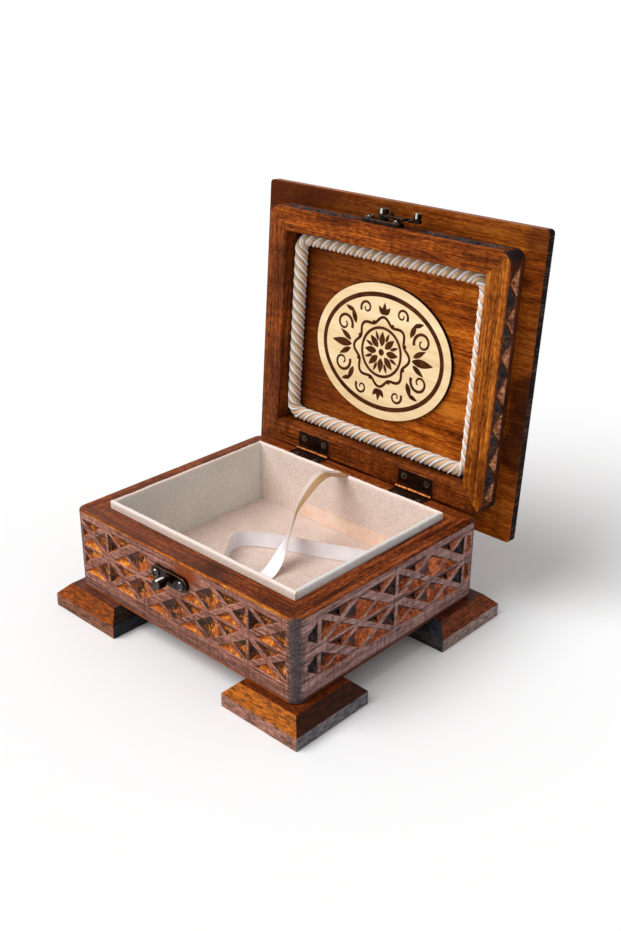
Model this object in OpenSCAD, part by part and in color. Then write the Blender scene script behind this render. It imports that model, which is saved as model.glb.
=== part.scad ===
// Hinged keepsake box of stained wood: chip-carved walls on four bevelled feet, a velvet
// liner with a lifting ribbon, and an overhanging lid with a rope trim and an oval plaque.
// The box stands on z = 0 with its centre on the origin, its front faces -Y, and the lid is
// drawn leaning on its hinge stops. Millimetres and degrees.

/* [Box] */
// Width of the box over its walls
box_w = 220; // [180:1:300]
// Depth of the box over its walls
box_d = 188; // [150:1:260]
// Height of the walls
wall_h = 62.5; // [50:0.5:110]
// Thickness of the wall boards
wall_t = 18; // [14:0.5:22]
// Radius of the upright corners of the walls and the lid frame
corner_r = 8; // [3:0.5:12]
// Thickness of the bottom panel
bottom_t = 12; // [6:0.5:18]
// Gap between the bottom panel and the walls
bottom_fit = 0.2; // [0.1:0.05:0.5]

/* [Feet] */
// Side of a square foot
foot_side = 67.5; // [50:0.5:80]
// Height of a foot
foot_h = 18.5; // [12:0.5:30]
// How far a foot stands out past the walls
foot_reach = 13.5; // [6:0.5:20]
// Width of the bevel round the top of a foot
foot_bevel_w = 8.5; // [2:0.5:10]
// Height of that bevel
foot_bevel_h = 8.5; // [3:0.5:11]

/* [Liner] */
// Thickness of the velvet-covered liner walls
liner_t = 3; // [2:0.25:5]
// How far the liner stands above the rim
liner_proud = 5.5; // [2:0.25:7]
// Gap between the liner and the walls
liner_fit = 0.4; // [0.2:0.05:1]
// Thickness of the padded liner floor
pad_t = 6; // [3:0.5:12]

/* [Ribbon] */
// Width of the lifting ribbon
ribbon_w = 12.5; // [8:0.5:16]
// Thickness of the lifting ribbon
ribbon_t = 0.5; // [0.3:0.1:1]
// Gap between the ribbon and what it lies on
ribbon_fit = 0.3; // [0.2:0.05:0.5]

/* [Lid] */
// Angle between the closed lid and the lid on its stops
lid_open = 94; // [80:1:110]
// Gap between the rim and the closed lid frame
lid_gap = 1; // [0.6:0.1:2]
// Height of the lid frame
rail_h = 18; // [14:0.5:30]
// Thickness of the lid board
board_t = 8; // [5:0.5:14]
// Overhang of the lid board at the left
overhang_left = 18.5; // [8:0.5:25]
// Overhang of the lid board at the right
overhang_right = 15; // [8:0.5:25]
// Overhang of the lid board at the front
overhang_front = 15; // [8:0.5:25]
// Overhang of the lid board at the back
overhang_back = 21; // [8:0.5:25]
// Radius of the corners of the lid board
board_r = 3; // [1:0.5:8]

/* [Plaque and rope] */
// Width of the oval plaque
plaque_w = 130; // [80:1:150]
// Height of the oval plaque
plaque_h = 104; // [60:1:120]
// Place of the plaque to the right of the lid's middle
plaque_x = -2.5; // [-10:0.5:10]
// Place of the plaque to the back of the lid's middle
plaque_y = 2; // [-10:0.5:10]
// Thickness of the plaque
plaque_t = 3; // [2:0.5:4]
// Margin between the plaque's edge and its ring
ring_margin = 7; // [4:0.5:15]
// Width of the ring cut into the plaque
ring_w = 3.5; // [1:0.25:6]
// Depth of that ring
ring_depth = 0.4; // [0.2:0.1:1]
// Diameter of the rope trim
rope_d = 11; // [6:0.2:12]
// Radius of the rope's corners, to its middle line
rope_bend = 9; // [6:0.5:20]
// Gap between the rope and the lid
rope_fit = 0.1; // [0.05:0.05:0.5]

/* [Carving] */
// Depth of the chips in the walls
chip_depth = 4.5; // [1:0.25:6]
// Width of the broad slanting bands, in every other cell
band_wide = 5.2; // [3:0.2:7]
// Width of the slanting bands in the cells between
band_mid = 3.4; // [2:0.2:5]
// Width of the narrow slanting bands that cross the broad ones
band_thin = 1.8; // [1:0.2:3]
// Width of the line between the two rows
row_band = 1.5; // [1:0.25:4]
// Width of the upright bands
upright_band = 2.4; // [1:0.2:5]
// Width of the bands of the lid frame's zigzag
zigzag_band = 2; // [1:0.25:4]
// Sideways place of the carved field on the front and back walls
front_field_at = -3.2; // [-6:0.2:6]
// Sideways place of the carved field on the side walls
side_field_at = 3.2; // [-6:0.2:6]
// Plain margin under the carved field of a wall
margin_low = 12.5; // [6:0.5:20]
// Plain margin over the carved field of a wall
margin_high = 5; // [3:0.5:12]
// Cells of carving along the front and back walls
front_cells = 6; // [4:2:8]
// Cells of carving along the side walls
side_cells = 4; // [2:2:6]
// Plain length at each end of the front and back walls, for a carved field in their middle
front_plain = 3.8; // [3:0.2:20]
// Plain length at each end of the side walls, for a carved field in their middle
side_plain = 18.25; // [10:0.25:30]
// Length of the small chips past the ends of the side walls' field
end_chip = 11; // [6:0.5:16]
// Length at which the slanting sides of those chips would meet
end_point = 18; // [17:0.5:24]
// Depth of the chips in the lid frame
lid_chip_depth = 3; // [1:0.25:4]
// Plain margin between the lid frame's zigzag and the rim
lid_margin_low = 1; // [0.5:0.25:3]
// Plain margin between the zigzag and the lid board
lid_margin_high = 4.5; // [2:0.25:6]
// Pitch of the zigzag on the lid frame
zigzag_pitch = 25.5; // [15:0.5:40]

/* [Hinges] */
// Distance between the middles of the two hinges
hinge_spread = 102; // [70:1:160]
// Length of a hinge
hinge_l = 33; // [24:1:40]
// Width of a leaf from the pin's axis to its edge
leaf_w = 15; // [11:0.5:17]
// Thickness of a leaf
leaf_t = 1.2; // [0.8:0.1:1.6]
// How far a leaf stands out of its recess
leaf_proud = 0.4; // [0.1:0.05:0.45]
// Radius of the knuckles
knuckle_r = 2.6; // [2.2:0.1:3.2]
// Radius of the hinge pins
pin_r = 1.1; // [0.8:0.1:1.5]
// Gap between the knuckles along the pin
knuckle_gap = 0.3; // [0.2:0.05:0.6]
// Gap round the knuckles in the wood
knuckle_room = 0.5; // [0.3:0.1:1]
// Distance between the two screws of a leaf
leaf_screws = 21; // [14:1:24]
// Distance of the leaf screws from the pin's axis
leaf_screw_in = 9.5; // [7:0.5:11]

/* [Latch] */
// Sideways place of the latch from the middle of the front
latch_x = -4.5; // [-20:0.5:20]
// Drop of the latch below the middle of the lid frame's height
latch_drop = 1.5; // [0:0.25:3]
// Length of the latch plate and the catch plate
plate_l = 36; // [30:1:50]
// Height of the latch plate and the catch plate
plate_h = 11; // [8:0.5:13]
// Thickness of the latch plate and the catch plate
plate_t = 3; // [1:0.25:4]
// Distance between the two screws of a plate
plate_screws = 25; // [20:1:30]
// Length of the hook from its pivot to its notch
hook_l = 23.5; // [22:0.5:32]
// Thickness of the hook
hook_t = 2; // [1.2:0.2:3]
// Width of the hook's bar
hook_w = 4.5; // [3:0.25:6]
// Radius of the hook's eye and head
hook_head_r = 5.5; // [5:0.25:7]
// Gap between the plates and the hook
hook_lift = 2; // [1.9:0.1:3]
// Radius of the catch stud's neck
stud_neck_r = 1.6; // [1.2:0.1:2]
// Room round that neck in the hook's notch
notch_room = 0.9; // [0.6:0.1:1.2]
// Radius of the pivot's neck
pivot_neck_r = 1.8; // [1.4:0.1:2.2]
// Radius of the hook's knob
knob_r = 2.8; // [2:0.1:3]
// Gap between the hook's knob and the head of the catch stud
knob_room = 0.4; // [0.3:0.1:1]
// Radius of the heads of the pivot and the catch stud
head_r = 4; // [2.7:0.1:4.4]
// Length of the knob
knob_l = 5; // [4:0.5:12]
// Length of the pivot's head
pivot_head_l = 2; // [1.5:0.5:10]
// Length of the stud's head
stud_head_l = 5; // [4:0.5:9]

/* [Fasteners] */
// Radius of the screw shanks
screw_r = 1.2; // [0.8:0.1:1.4]
// Radius of the screw heads
screw_head_r = 2.6; // [2:0.1:3]
// Radius of the domed heads on the plates
plate_head_r = 3.5; // [2:0.1:4]
// Length of a screw in the wood
screw_l = 9; // [5:0.5:11]
// Height of the domed heads on the plates
dome_h = 1.6; // [0.7:0.1:1.7]
// Running clearance of a pin or screw in its hole
pin_fit = 0.05; // [0.02:0.01:0.1]

/* [Hidden] */
$fn = 64;
// Small overshoot that lets a cut pass clean through a face
cut = 0.5;

// Heights of the closed box
rim_z = foot_h + wall_h;
lid_z = rim_z + lid_gap;
board_z = lid_z + rail_h;
floor_z = foot_h + bottom_t;
pad_z = floor_z + pad_t;

// Opening inside the walls and the lid frame, and the outside and inside of the liner
open_w = box_w - 2 * wall_t;
open_d = box_d - 2 * wall_t;
liner_w = open_w - 2 * liner_fit;
liner_d = open_d - 2 * liner_fit;
inner_w = liner_w - 2 * liner_t;
inner_d = liner_d - 2 * liner_t;
liner_deep = rim_z + liner_proud - pad_z;

// Axis of the lid's hinges, on the outer edge of the back wall
hinge_y = box_d / 2;
hinge_z = rim_z + lid_gap / 2;

// Carved field of a wall: two rows of cells
row_low = foot_h + margin_low;
row_high = rim_z - margin_high;
row_mid = (row_low + row_high) / 2;

// Latch and catch: the hook hangs from the pivot and its notch meets the stud
pivot_z = lid_z + rail_h / 2 - latch_drop;
stud_z = pivot_z - hook_l;
front_y = -box_d / 2;
hook_from = plate_t + hook_lift;
hook_to = hook_from + hook_t;
knob_at = hook_l + head_r + knob_room + knob_r;

wood = "#6b3a1c";
dark_wood = "#4a2614";
bronze = "#2a211c";
velvet = "#d9c6b8";

// Moves what is drawn on the closed lid to the lid on its stops
module lid_pose() {
    translate([0, hinge_y, hinge_z]) rotate([-lid_open, 0, 0]) translate([0, -hinge_y, -hinge_z])
        children();
}

// Rectangle with round corners, centred
module round_rect(w, d, r) {
    square([w - 2 * r, d], center = true);
    square([w, d - 2 * r], center = true);
    for (x = [-1, 1], y = [-1, 1]) translate([x * (w / 2 - r), y * (d / 2 - r)]) circle(r);
}

// One mitred side of a frame of boards: 0 front, 1 right, 2 back, 3 left
module mitred_side(side, low, high) {
    half_w = box_w / 2;
    half_d = box_d / 2;
    m = wall_t + cut;
    across = side % 2 == 0 ? half_w : half_d;
    out = side % 2 == 0 ? half_d : half_w;
    translate([0, 0, low]) linear_extrude(high - low) intersection() {
        difference() {
            round_rect(box_w, box_d, corner_r);
            square([open_w, open_d], center = true);
        }
        rotate(side * 90)
            polygon([[-across, -out], [across, -out], [across - m, m - out], [m - across, m - out]]);
    }
}

// Turns a drawing on the plane x, z of the front into the outside face of a side
module on_side(side, distance) {
    rotate(side * 90) translate([0, -distance, 0]) children();
}

function middle(points) = [for (k = [0, 1]) [for (p = points) p[k]] * [for (p = points) 1] / len(points)];
function unit(a) = a / norm(a);

// An outline drawn in by t[i] from the side that starts at its point i
function drawn_in(p, t) =
    let (n = len(p))
    [for (i = [0:n - 1])
        let (h = (i + n - 1) % n, a = unit(p[i] - p[h]), b = unit(p[(i + 1) % n] - p[i]))
        let (q = p[i] + t[h] * [-a[1], a[0]], w = p[i] + t[i] * [-b[1], b[0]])
        q + a * cross(w - q, b) / cross(a, b)];

// The part of an outline on the right of u = edge, and the part on its left
function right_of(p, edge) =
    let (n = len(p))
    [for (i = [0:n - 1])
        let (a = p[i], b = p[(i + 1) % n], x = a[0] - edge, y = b[0] - edge)
        each concat(x >= 0 ? [a] : [], x * y < 0 ? [a + (b - a) * x / (x - y)] : [])];
function left_of(p, edge) = [for (q = right_of([for (a = p) [-a[0], a[1]]], -edge)) [-q[0], q[1]]];

// Half widths of a cell's rising and falling bands: even, or by turns broad and narrow
function half_bands(i, row, lean) =
    (i + row) % 2 == 0 ? [band_mid / 2, band_mid / 2]
    : lean > 0 ? [band_wide / 2, band_thin / 2] : [band_thin / 2, band_wide / 2];

// Chips of one cell of a row: the triangles under and over its crossing bands
function cell_chips(u0, u1, v0, v1, f) =
    let (o = [(u0 + u1) / 2, (v0 + v1) / 2], t = [row_band / 2, f[1], f[0]])
    [drawn_in([[u0, v0], [u1, v0], o], t), drawn_in([[u1, v1], [u0, v1], o], t)];

// Chip on one side of an upright band at u, reaching as far as run
function bar_chip(u, run, v0, v1, f) =
    drawn_in(run > 0 ? [[u, v0], [u + run, (v0 + v1) / 2], [u, v1]]
                     : [[u, v1], [u + run, (v0 + v1) / 2], [u, v0]], [f[0], f[1], upright_band / 2]);

// Diamond at an upright line between a cell with the bands f and the next cell with the bands g
function diamond_chip(u, half, v0, v1, f, g) =
    drawn_in([[u - half, (v0 + v1) / 2], [u, v0], [u + half, (v0 + v1) / 2], [u, v1]],
             [f[1], g[0], g[1], f[0]]);

// Chips at an upright line between cells: two triangles by a band, or one diamond
function line_chips(u, half, v0, v1, f, g, banded) =
    banded ? [bar_chip(u, half, v0, v1, g), bar_chip(u, -half, v0, v1, f)]
           : [diamond_chip(u, half, v0, v1, f, g)];

// All chips of one row of a wall
function row_chips(cells, pitch, at, v0, v1, row, lean, banded, end) =
    let (half = pitch / 2, first = at - cells * half, last = at + cells * half)
    let (f = [for (i = [0:cells - 1]) half_bands(i, row, lean)], even = [band_mid / 2, band_mid / 2])
    let (u = [for (i = [0:cells]) first + i * pitch])
    concat(
        [for (i = [0:cells - 1]) each cell_chips(u[i], u[i + 1], v0, v1, f[i])],
        [for (i = [1:cells - 1]) each line_chips(u[i], half, v0, v1, f[i - 1], f[i], banded[i])],
        [bar_chip(first, half, v0, v1, f[0]), bar_chip(last, -half, v0, v1, f[cells - 1])],
        end > 0 ? [right_of(bar_chip(first, -end_point, v0, v1, even), first - end),
                   left_of(bar_chip(last, end_point, v0, v1, even), last + end)] : []);

// Both rows of a wall, kept on the flat that reaches as far as reach on both sides of its middle
function wall_chips(cells, field, at, lean, banded, end, reach) =
    let (pitch = field / cells)
    let (all = concat(row_chips(cells, pitch, at, row_low, row_mid, 1, lean, banded, end),
                      row_chips(cells, pitch, at, row_mid, row_high, 0, lean, banded, end)))
    [for (p = all) left_of(right_of(p, -reach), reach)];

// Upright bands stand at the second line from each end of the front, and at every other
// line of the sides
front_chips = wall_chips(front_cells, box_w - 2 * front_plain, front_field_at, 1,
                         [for (i = [0:front_cells]) i == 1 || i == front_cells - 1], 0,
                         box_w / 2 - corner_r);
side_chips = wall_chips(side_cells, box_d - 2 * side_plain, side_field_at, -1,
                        [for (i = [0:side_cells]) i % 2 == 0], end_chip, box_d / 2 - corner_r);

// Chips of the front that the catch plate and its plain field leave in place
catch_field = [plate_l / 2 + plate_h / 2, plate_h];
function clear_of_catch(p) =
    let (o = middle(p))
    abs(o[0] - latch_x) > catch_field[0] || o[1] < stud_z - catch_field[1] / 2;

// Zigzag of the lid frame: triangles that point down and up by turns, kept on the flat
function zigzag_chips(at, reach) =
    let (n = ceil(2 * reach / zigzag_pitch), half = zigzag_pitch / 2, first = at - n * half)
    let (v0 = lid_z + lid_margin_low, v1 = board_z - lid_margin_high)
    let (t = [0, zigzag_band / 2, zigzag_band / 2])
    [for (i = [0:2 * n - 2])
        let (u = first + i * half, w = u + zigzag_pitch)
        let (p = i % 2 == 0 ? [[w, v1], [u, v1], [u + half, v0]] : [[u, v0], [w, v0], [u + half, v1]])
        left_of(right_of(drawn_in(p, t), -reach), reach)];

// A pit with sloping sides under an outline on the plane x, z, deepest below its middle
module chip(points, depth) {
    o = middle(points);
    n = len(points);
    grow = 1 + cut / depth;
    polyhedron(
        points = concat([[o[0], depth, o[1]]],
                        [for (p = points) let (q = o + (p - o) * grow) [q[0], -cut, q[1]]]),
        faces = concat([[for (i = [n:-1:1]) i]], [for (i = [1:n]) [0, i, i % n + 1]]));
}

// Recess of a leaf and of the knuckles in the wood, about a hinge's middle on the plane z = 0
module hinge_recess(deep) {
    translate([-hinge_l / 2 - knuckle_gap, -leaf_w - knuckle_gap, -deep])
        cube([hinge_l + 2 * knuckle_gap, leaf_w + knuckle_gap + cut, deep + cut]);
    for (x = [-0.5, 0.5]) translate([x * leaf_screws, -leaf_screw_in, -deep - screw_l])
        cylinder(r = screw_r + pin_fit, h = screw_l + deep);
}

// Round room for a hinge's knuckles, on its axis
module knuckle_recess() {
    translate([-hinge_l / 2 - knuckle_gap, 0, 0]) rotate([0, 90, 0])
        cylinder(r = knuckle_r + knuckle_room, h = hinge_l + 2 * knuckle_gap);
}

// Places a thing at both hinges
module at_hinges(z) {
    for (x = [-0.5, 0.5]) translate([x * hinge_spread, hinge_y, z]) children();
}

module front_wall() {
    color(wood) difference() {
        mitred_side(0, foot_h, rim_z);
        on_side(0, box_d / 2) for (p = front_chips) if (clear_of_catch(p)) chip(p, chip_depth);
        plate_holes(stud_z);
    }
}

module back_wall() {
    color(wood) difference() {
        mitred_side(2, foot_h, rim_z);
        on_side(2, box_d / 2) for (p = front_chips) chip(p, chip_depth);
        at_hinges(rim_z) hinge_recess(leaf_t - leaf_proud);
        at_hinges(hinge_z) knuckle_recess();
    }
}

module side_wall(side) {
    color(wood) difference() {
        mitred_side(side, foot_h, rim_z);
        on_side(side, box_w / 2) for (p = side_chips) chip(p, chip_depth);
    }
}

module bottom_panel() {
    color(dark_wood) translate([0, 0, foot_h + bottom_t / 2])
        cube([open_w - 2 * bottom_fit, open_d - 2 * bottom_fit, bottom_t], center = true);
}

// A square foot with a bevel on all four upper edges, its outer corner past the walls
module foot(x, y) {
    low_h = foot_h - foot_bevel_h;
    profile = [[0, 0], [foot_side, 0], [foot_side, low_h], [foot_side - foot_bevel_w, foot_h],
               [foot_bevel_w, foot_h], [0, low_h]];
    place = [x * (box_w / 2 + foot_reach - foot_side / 2), y * (box_d / 2 + foot_reach - foot_side / 2)];
    color(wood) translate(place) intersection() {
        translate([-foot_side / 2, foot_side / 2, 0]) rotate([90, 0, 0])
            linear_extrude(foot_side) polygon(profile);
        rotate(90) translate([-foot_side / 2, foot_side / 2, 0]) rotate([90, 0, 0])
            linear_extrude(foot_side) polygon(profile);
    }
}

module liner_long(y) {
    color(velvet) translate([-liner_w / 2, y * (liner_d - liner_t) / 2 - liner_t / 2, floor_z])
        cube([liner_w, liner_t, rim_z + liner_proud - floor_z]);
}

module liner_short(x) {
    color(velvet) translate([x * (liner_w - liner_t) / 2 - liner_t / 2, -inner_d / 2, floor_z])
        cube([liner_t, inner_d, rim_z + liner_proud - floor_z]);
}

module liner_floor() {
    color(velvet) translate([-inner_w / 2, -inner_d / 2, floor_z]) cube([inner_w, inner_d, pad_t]);
}

// Control points of the ribbon's middle line: x and y in percent of half the liner's inside,
// lift over its lowest place in percent of the liner's depth, then the direction of its width
// on plan and that width's tilt up from the floor. It starts on top of the back liner, arches down
// to the floor, turns up on its edge, loops round at the left and right, and ends along the
// foot of the back liner.
function ribbon_route() = [
    [-2, 102, 100, 0, 0], [-3, 95, 101, -10, 0], [-3, 87, 105, -14, 0], [-3, 76, 111, -14, 0],
    [-3, 65, 108, -14, 2], [-3, 54, 98, -16, 9], [-3, 43, 85, -24, 12], [-3, 34, 69, -36, 18],
    [-1, 25, 49, -40, 24], [0, 18, 35, -37, 24], [1, 10, 25, -26, 10], [3, 0, 14, -10, 5],
    [4, -11, 4, -3, 2], [5, -21, 0, 0, 2], [6, -32, 0, -4, 12], [5, -43, 0, -14, 35],
    [2, -53, 0, -40, 62], [-5, -59, 0, -75, 80], [-14, -58, 0, -110, 88], [-22, -48, 0, -129, 90],
    [-31, -35, 0, -129, 90], [-41, -19, 0, -135, 90], [-47, -7, 0, -165, 90], [-47, 3, 0, -195, 90],
    [-41, 12, 0, -220, 90], [-31, 20, 0, -230, 90], [-17, 29, 0, -240, 90], [0, 37, 0, -245, 90],
    [18, 46, 0, -245, 90], [36, 56, 0, -245, 90], [54, 65, 0, -245, 90], [70, 72, 0, -240, 90],
    [79, 81, 0, -220, 90], [81, 90, 0, -170, 90], [75, 97, 0, -120, 90], [62, 99, 0, -95, 90],
    [46, 100, 0, -90, 90], [29, 100, 0, -90, 90], [10, 100, 0, -90, 90], [-10, 100, 0, -90, 90],
    [-30, 100, 0, -90, 90], [-49, 100, 0, -90, 90]];

// Pieces of the band between two control points
ribbon_steps = 3;

function held(v, limit) = min(max(v, -limit), limit);

// Smooth curve through control points p, at step k of n after point i
function smooth(p, i, k, n) =
    let (t = k / n, last = len(p) - 1)
    let (a = p[max(i - 1, 0)], b = p[i], c = p[min(i + 1, last)], d = p[min(i + 2, last)])
    0.5 * (2 * b + (c - a) * t + (2 * a - 5 * b + 4 * c - d) * t * t + (3 * b - a - 3 * c + d) * t * t * t);

// Middle line of the band, with extra steps between the control points
function ribbon_line(p) = concat(
    [for (i = [0:len(p) - 2], k = [0:ribbon_steps - 1]) smooth(p, i, k, ribbon_steps)],
    [p[len(p) - 1]]);

function ribbon_across(r) = [cos(r[3]) * cos(r[4]), sin(r[3]) * cos(r[4]), sin(r[4])] * ribbon_w / 2;

// Place of the middle line, kept off the floor and, below the liner's top, off its walls
function ribbon_place(r) =
    let (w = ribbon_across(r), skin = ribbon_fit + ribbon_t / 2)
    let (x = r[0] / 100 * inner_w / 2, y = r[1] / 100 * inner_d / 2, lift = r[2] / 100 * liner_deep)
    let (z = pad_z + abs(w[2]) + skin + lift)
    let (side = inner_w / 2 - abs(w[0]) - skin, end = inner_d / 2 - abs(w[1]) - skin)
    lift > 0 ? [x, y, z] : [held(x, side), held(y, end), z];

// A flat band swept along the ribbon's route
module lifting_ribbon() {
    line = ribbon_line(ribbon_route());
    n = len(line);
    places = [for (r = line) ribbon_place(r)];
    rings = [for (i = [0:n - 1])
        let (o = places[i], w = ribbon_across(line[i]))
        let (run = places[min(i + 1, n - 1)] - places[max(i - 1, 0)])
        let (h = unit(cross(run, w)) * ribbon_t / 2)
        [o - w - h, o + w - h, o + w + h, o - w + h]];
    color("#efe2da") polyhedron(
        points = [for (r = rings) each r],
        faces = concat(
            [[0, 1, 2], [0, 2, 3]],
            [for (i = [0:n - 2], k = [0:3])
                each let (a = 4 * i + k, b = 4 * i + (k + 1) % 4) [[a, a + 4, b], [b, a + 4, b + 4]]],
            let (e = 4 * (n - 1)) [[e, e + 2, e + 1], [e, e + 3, e + 2]]));
}

// Oblong plate with round ends on the front, and the things that pass through it
module plate(z) {
    color(bronze) translate([latch_x, front_y, z]) rotate([90, 0, 0]) difference() {
        linear_extrude(plate_t) {
            square([plate_l - plate_h, plate_h], center = true);
            for (x = [-0.5, 0.5]) translate([x * (plate_l - plate_h), 0]) circle(plate_h / 2);
        }
        translate([0, 0, -cut]) cylinder(r = pivot_neck_r + pin_fit, h = plate_t + 2 * cut);
        for (x = [-0.5, 0.5]) translate([x * plate_screws, 0, -cut])
            cylinder(r = screw_r + pin_fit, h = plate_t + 2 * cut);
    }
}

// Holes in the wood behind a plate
module plate_holes(z) {
    translate([latch_x, front_y, z]) rotate([-90, 0, 0]) translate([0, 0, -cut]) {
        cylinder(r = pivot_neck_r + pin_fit, h = screw_l + cut);
        for (x = [-0.5, 0.5]) translate([x * plate_screws, 0, 0])
            cylinder(r = screw_r + pin_fit, h = screw_l + cut);
    }
}

// Cross in a screw head of radius r, cut down from z = 0
module cross_slot(r) {
    slot = r / 4;
    for (a = [0, 90]) rotate(a) translate([-0.6 * r, -slot / 2, -slot]) cube([1.2 * r, slot, slot + cut]);
}

// Domed wood screws of a plate
module plate_screw_pair(z) {
    color(bronze) for (x = [-0.5, 0.5])
        translate([latch_x + x * plate_screws, front_y, z]) rotate([90, 0, 0]) difference() {
            union() {
                translate([0, 0, -screw_l]) cylinder(r = screw_r, h = screw_l + plate_t);
                translate([0, 0, plate_t]) intersection() {
                    cylinder(r = plate_head_r, h = dome_h);
                    translate([0, 0, dome_h - dome_r()]) sphere(dome_r());
                }
            }
            translate([0, 0, plate_t + dome_h]) cross_slot(0.8 * plate_head_r);
        }
}

// Radius of the ball that a domed head is cut from, for a rim a third of the dome's height
function dome_r() = let (rise = dome_h * 2 / 3) (plate_head_r * plate_head_r + rise * rise) / (2 * rise);

// Stepped round post: a shank in the wood, a collar, a neck that the hook takes, and a head
module post(z, neck, head) {
    slack = hook_lift / 4;
    translate([latch_x, front_y, z]) rotate([90, 0, 0]) {
        translate([0, 0, -screw_l]) cylinder(r = pivot_neck_r, h = screw_l + plate_t);
        translate([0, 0, plate_t]) cylinder(r = head_r, h = hook_lift - slack);
        translate([0, 0, plate_t]) cylinder(r = neck, h = hook_to + slack - plate_t);
        translate([0, 0, hook_to + slack]) cylinder(r = head_r, h = head - slack);
        translate([0, 0, hook_to + head]) intersection() {
            cylinder(r = head_r, h = head_r / 2);
            translate([0, 0, -head_r * 0.75]) sphere(head_r * 1.25);
        }
    }
}

module catch_stud() {
    color(bronze) post(stud_z, stud_neck_r, stud_head_l);
}

module latch_pivot() {
    color(bronze) lid_pose() post(pivot_z, pivot_neck_r, pivot_head_l);
}

// Swinging hook, drawn pointing right along the front of the lid, with its notch open below
module latch_hook() {
    color(bronze) lid_pose() translate([latch_x, front_y, pivot_z]) rotate([90, 0, 0]) {
        translate([0, 0, hook_from]) linear_extrude(hook_t) difference() {
            union() {
                circle(hook_w * 0.85);
                translate([0, -hook_w / 2]) square([hook_l, hook_w]);
                translate([hook_l, 0]) circle(hook_head_r);
                translate([knob_at, 0]) circle(knob_r + knob_room);
            }
            circle(pivot_neck_r + pin_fit);
            translate([hook_l, 0]) circle(stud_neck_r + notch_room);
            translate([hook_l - stud_neck_r - notch_room, -2 * hook_head_r])
                square([2 * (stud_neck_r + notch_room), 2 * hook_head_r]);
        }
        translate([knob_at, 0, hook_to]) {
            cylinder(r = knob_r * 0.8, h = knob_l / 6);
            translate([0, 0, knob_l / 6]) cylinder(r = knob_r, h = knob_l * 5 / 6);
        }
        translate([hook_l / 3, 0, hook_to]) cylinder(r = knob_r / 2, h = knob_l / 2);
    }
}

// Leaf of a hinge on the closed box, about the middle of its pin; up is 1 for the leaf on
// the lid, which has the middle knuckle, and -1 for the leaf on the rim
module leaf(up) {
    third = hinge_l / 3;
    inner = lid_gap / 2 - leaf_proud;
    difference() {
        union() {
            translate([-hinge_l / 2, -leaf_w, up > 0 ? inner : -inner - leaf_t])
                cube([hinge_l, leaf_w, leaf_t]);
            if (up > 0) knuckle(-third / 2 + knuckle_gap, third / 2 - knuckle_gap);
            if (up < 0) for (x = [-1, 1]) knuckle(x * third - third / 2, x * third + third / 2);
        }
        if (up > 0) for (x = [-1, 1]) knuckle_notch(x * third, third / 2 + knuckle_gap);
        if (up < 0) knuckle_notch(0, third / 2);
        translate([-hinge_l, 0, 0]) rotate([0, 90, 0]) cylinder(r = pin_r + pin_fit, h = 2 * hinge_l);
        for (x = [-0.5, 0.5]) translate([x * leaf_screws, -leaf_screw_in, 0]) leaf_screw_shape(up, pin_fit);
    }
}

// Knuckle of a leaf from x0 to x1 along the pin
module knuckle(x0, x1) {
    translate([x0, 0, 0]) rotate([0, 90, 0]) cylinder(r = knuckle_r, h = x1 - x0);
}

// Clearance for the other leaf's knuckle, about x
module knuckle_notch(x, half) {
    translate([x - half, 0, 0]) rotate([0, 90, 0]) cylinder(r = knuckle_r + knuckle_gap, h = 2 * half);
}

// Countersunk screw about its leaf's place, grown by a clearance
module leaf_screw_shape(up, fit) {
    inner = lid_gap / 2 - leaf_proud;
    mirror([0, 0, up > 0 ? 0 : 1]) translate([0, 0, inner]) {
        cylinder(r1 = screw_head_r + fit, r2 = screw_r + fit, h = leaf_t);
        cylinder(r = screw_r + fit, h = screw_l);
    }
}

module leaf_screw_group(up) {
    inner = lid_gap / 2 - leaf_proud;
    at_hinges(hinge_z) for (x = [-0.5, 0.5]) translate([x * leaf_screws, -leaf_screw_in, 0]) difference() {
        leaf_screw_shape(up, 0);
        translate([0, 0, up * inner]) mirror([0, 0, up > 0 ? 1 : 0]) cross_slot(screw_head_r);
    }
}

module lower_leaf(x) {
    color(bronze) translate([x * hinge_spread / 2, hinge_y, hinge_z]) leaf(-1);
}

module upper_leaf(x) {
    color(bronze) lid_pose() translate([x * hinge_spread / 2, hinge_y, hinge_z]) leaf(1);
}

module hinge_pin(x) {
    color(bronze) translate([x * hinge_spread / 2 - hinge_l / 2, hinge_y, hinge_z]) rotate([0, 90, 0])
        cylinder(r = pin_r, h = hinge_l);
}

module lid_rail(side) {
    long = side % 2 == 0;
    zigzag = zigzag_chips(long ? 0 : side_field_at, (long ? box_w : box_d) / 2 - corner_r);
    color(wood) lid_pose() difference() {
        mitred_side(side, lid_z, board_z);
        on_side(side, (long ? box_d : box_w) / 2) for (p = zigzag)
            if (side != 0 || abs(middle(p)[0] - latch_x) > (plate_l + zigzag_pitch) / 2)
                chip(p, lid_chip_depth);
        if (side == 0) plate_holes(pivot_z);
        if (side == 2) {
            at_hinges(lid_z) mirror([0, 0, 1]) hinge_recess(leaf_t - leaf_proud);
            at_hinges(hinge_z) knuckle_recess();
        }
    }
}

module lid_board() {
    w = box_w + overhang_left + overhang_right;
    d = box_d + overhang_front + overhang_back;
    middle_x = (overhang_right - overhang_left) / 2;
    middle_y = (overhang_back - overhang_front) / 2;
    color(wood) lid_pose() translate([middle_x, middle_y, board_z])
        linear_extrude(board_t) round_rect(w, d, board_r);
}

// Oval with half axes a and b
module oval(a, b) {
    polygon([for (t = [0:5:355]) [a * cos(t), b * sin(t)]]);
}

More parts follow.
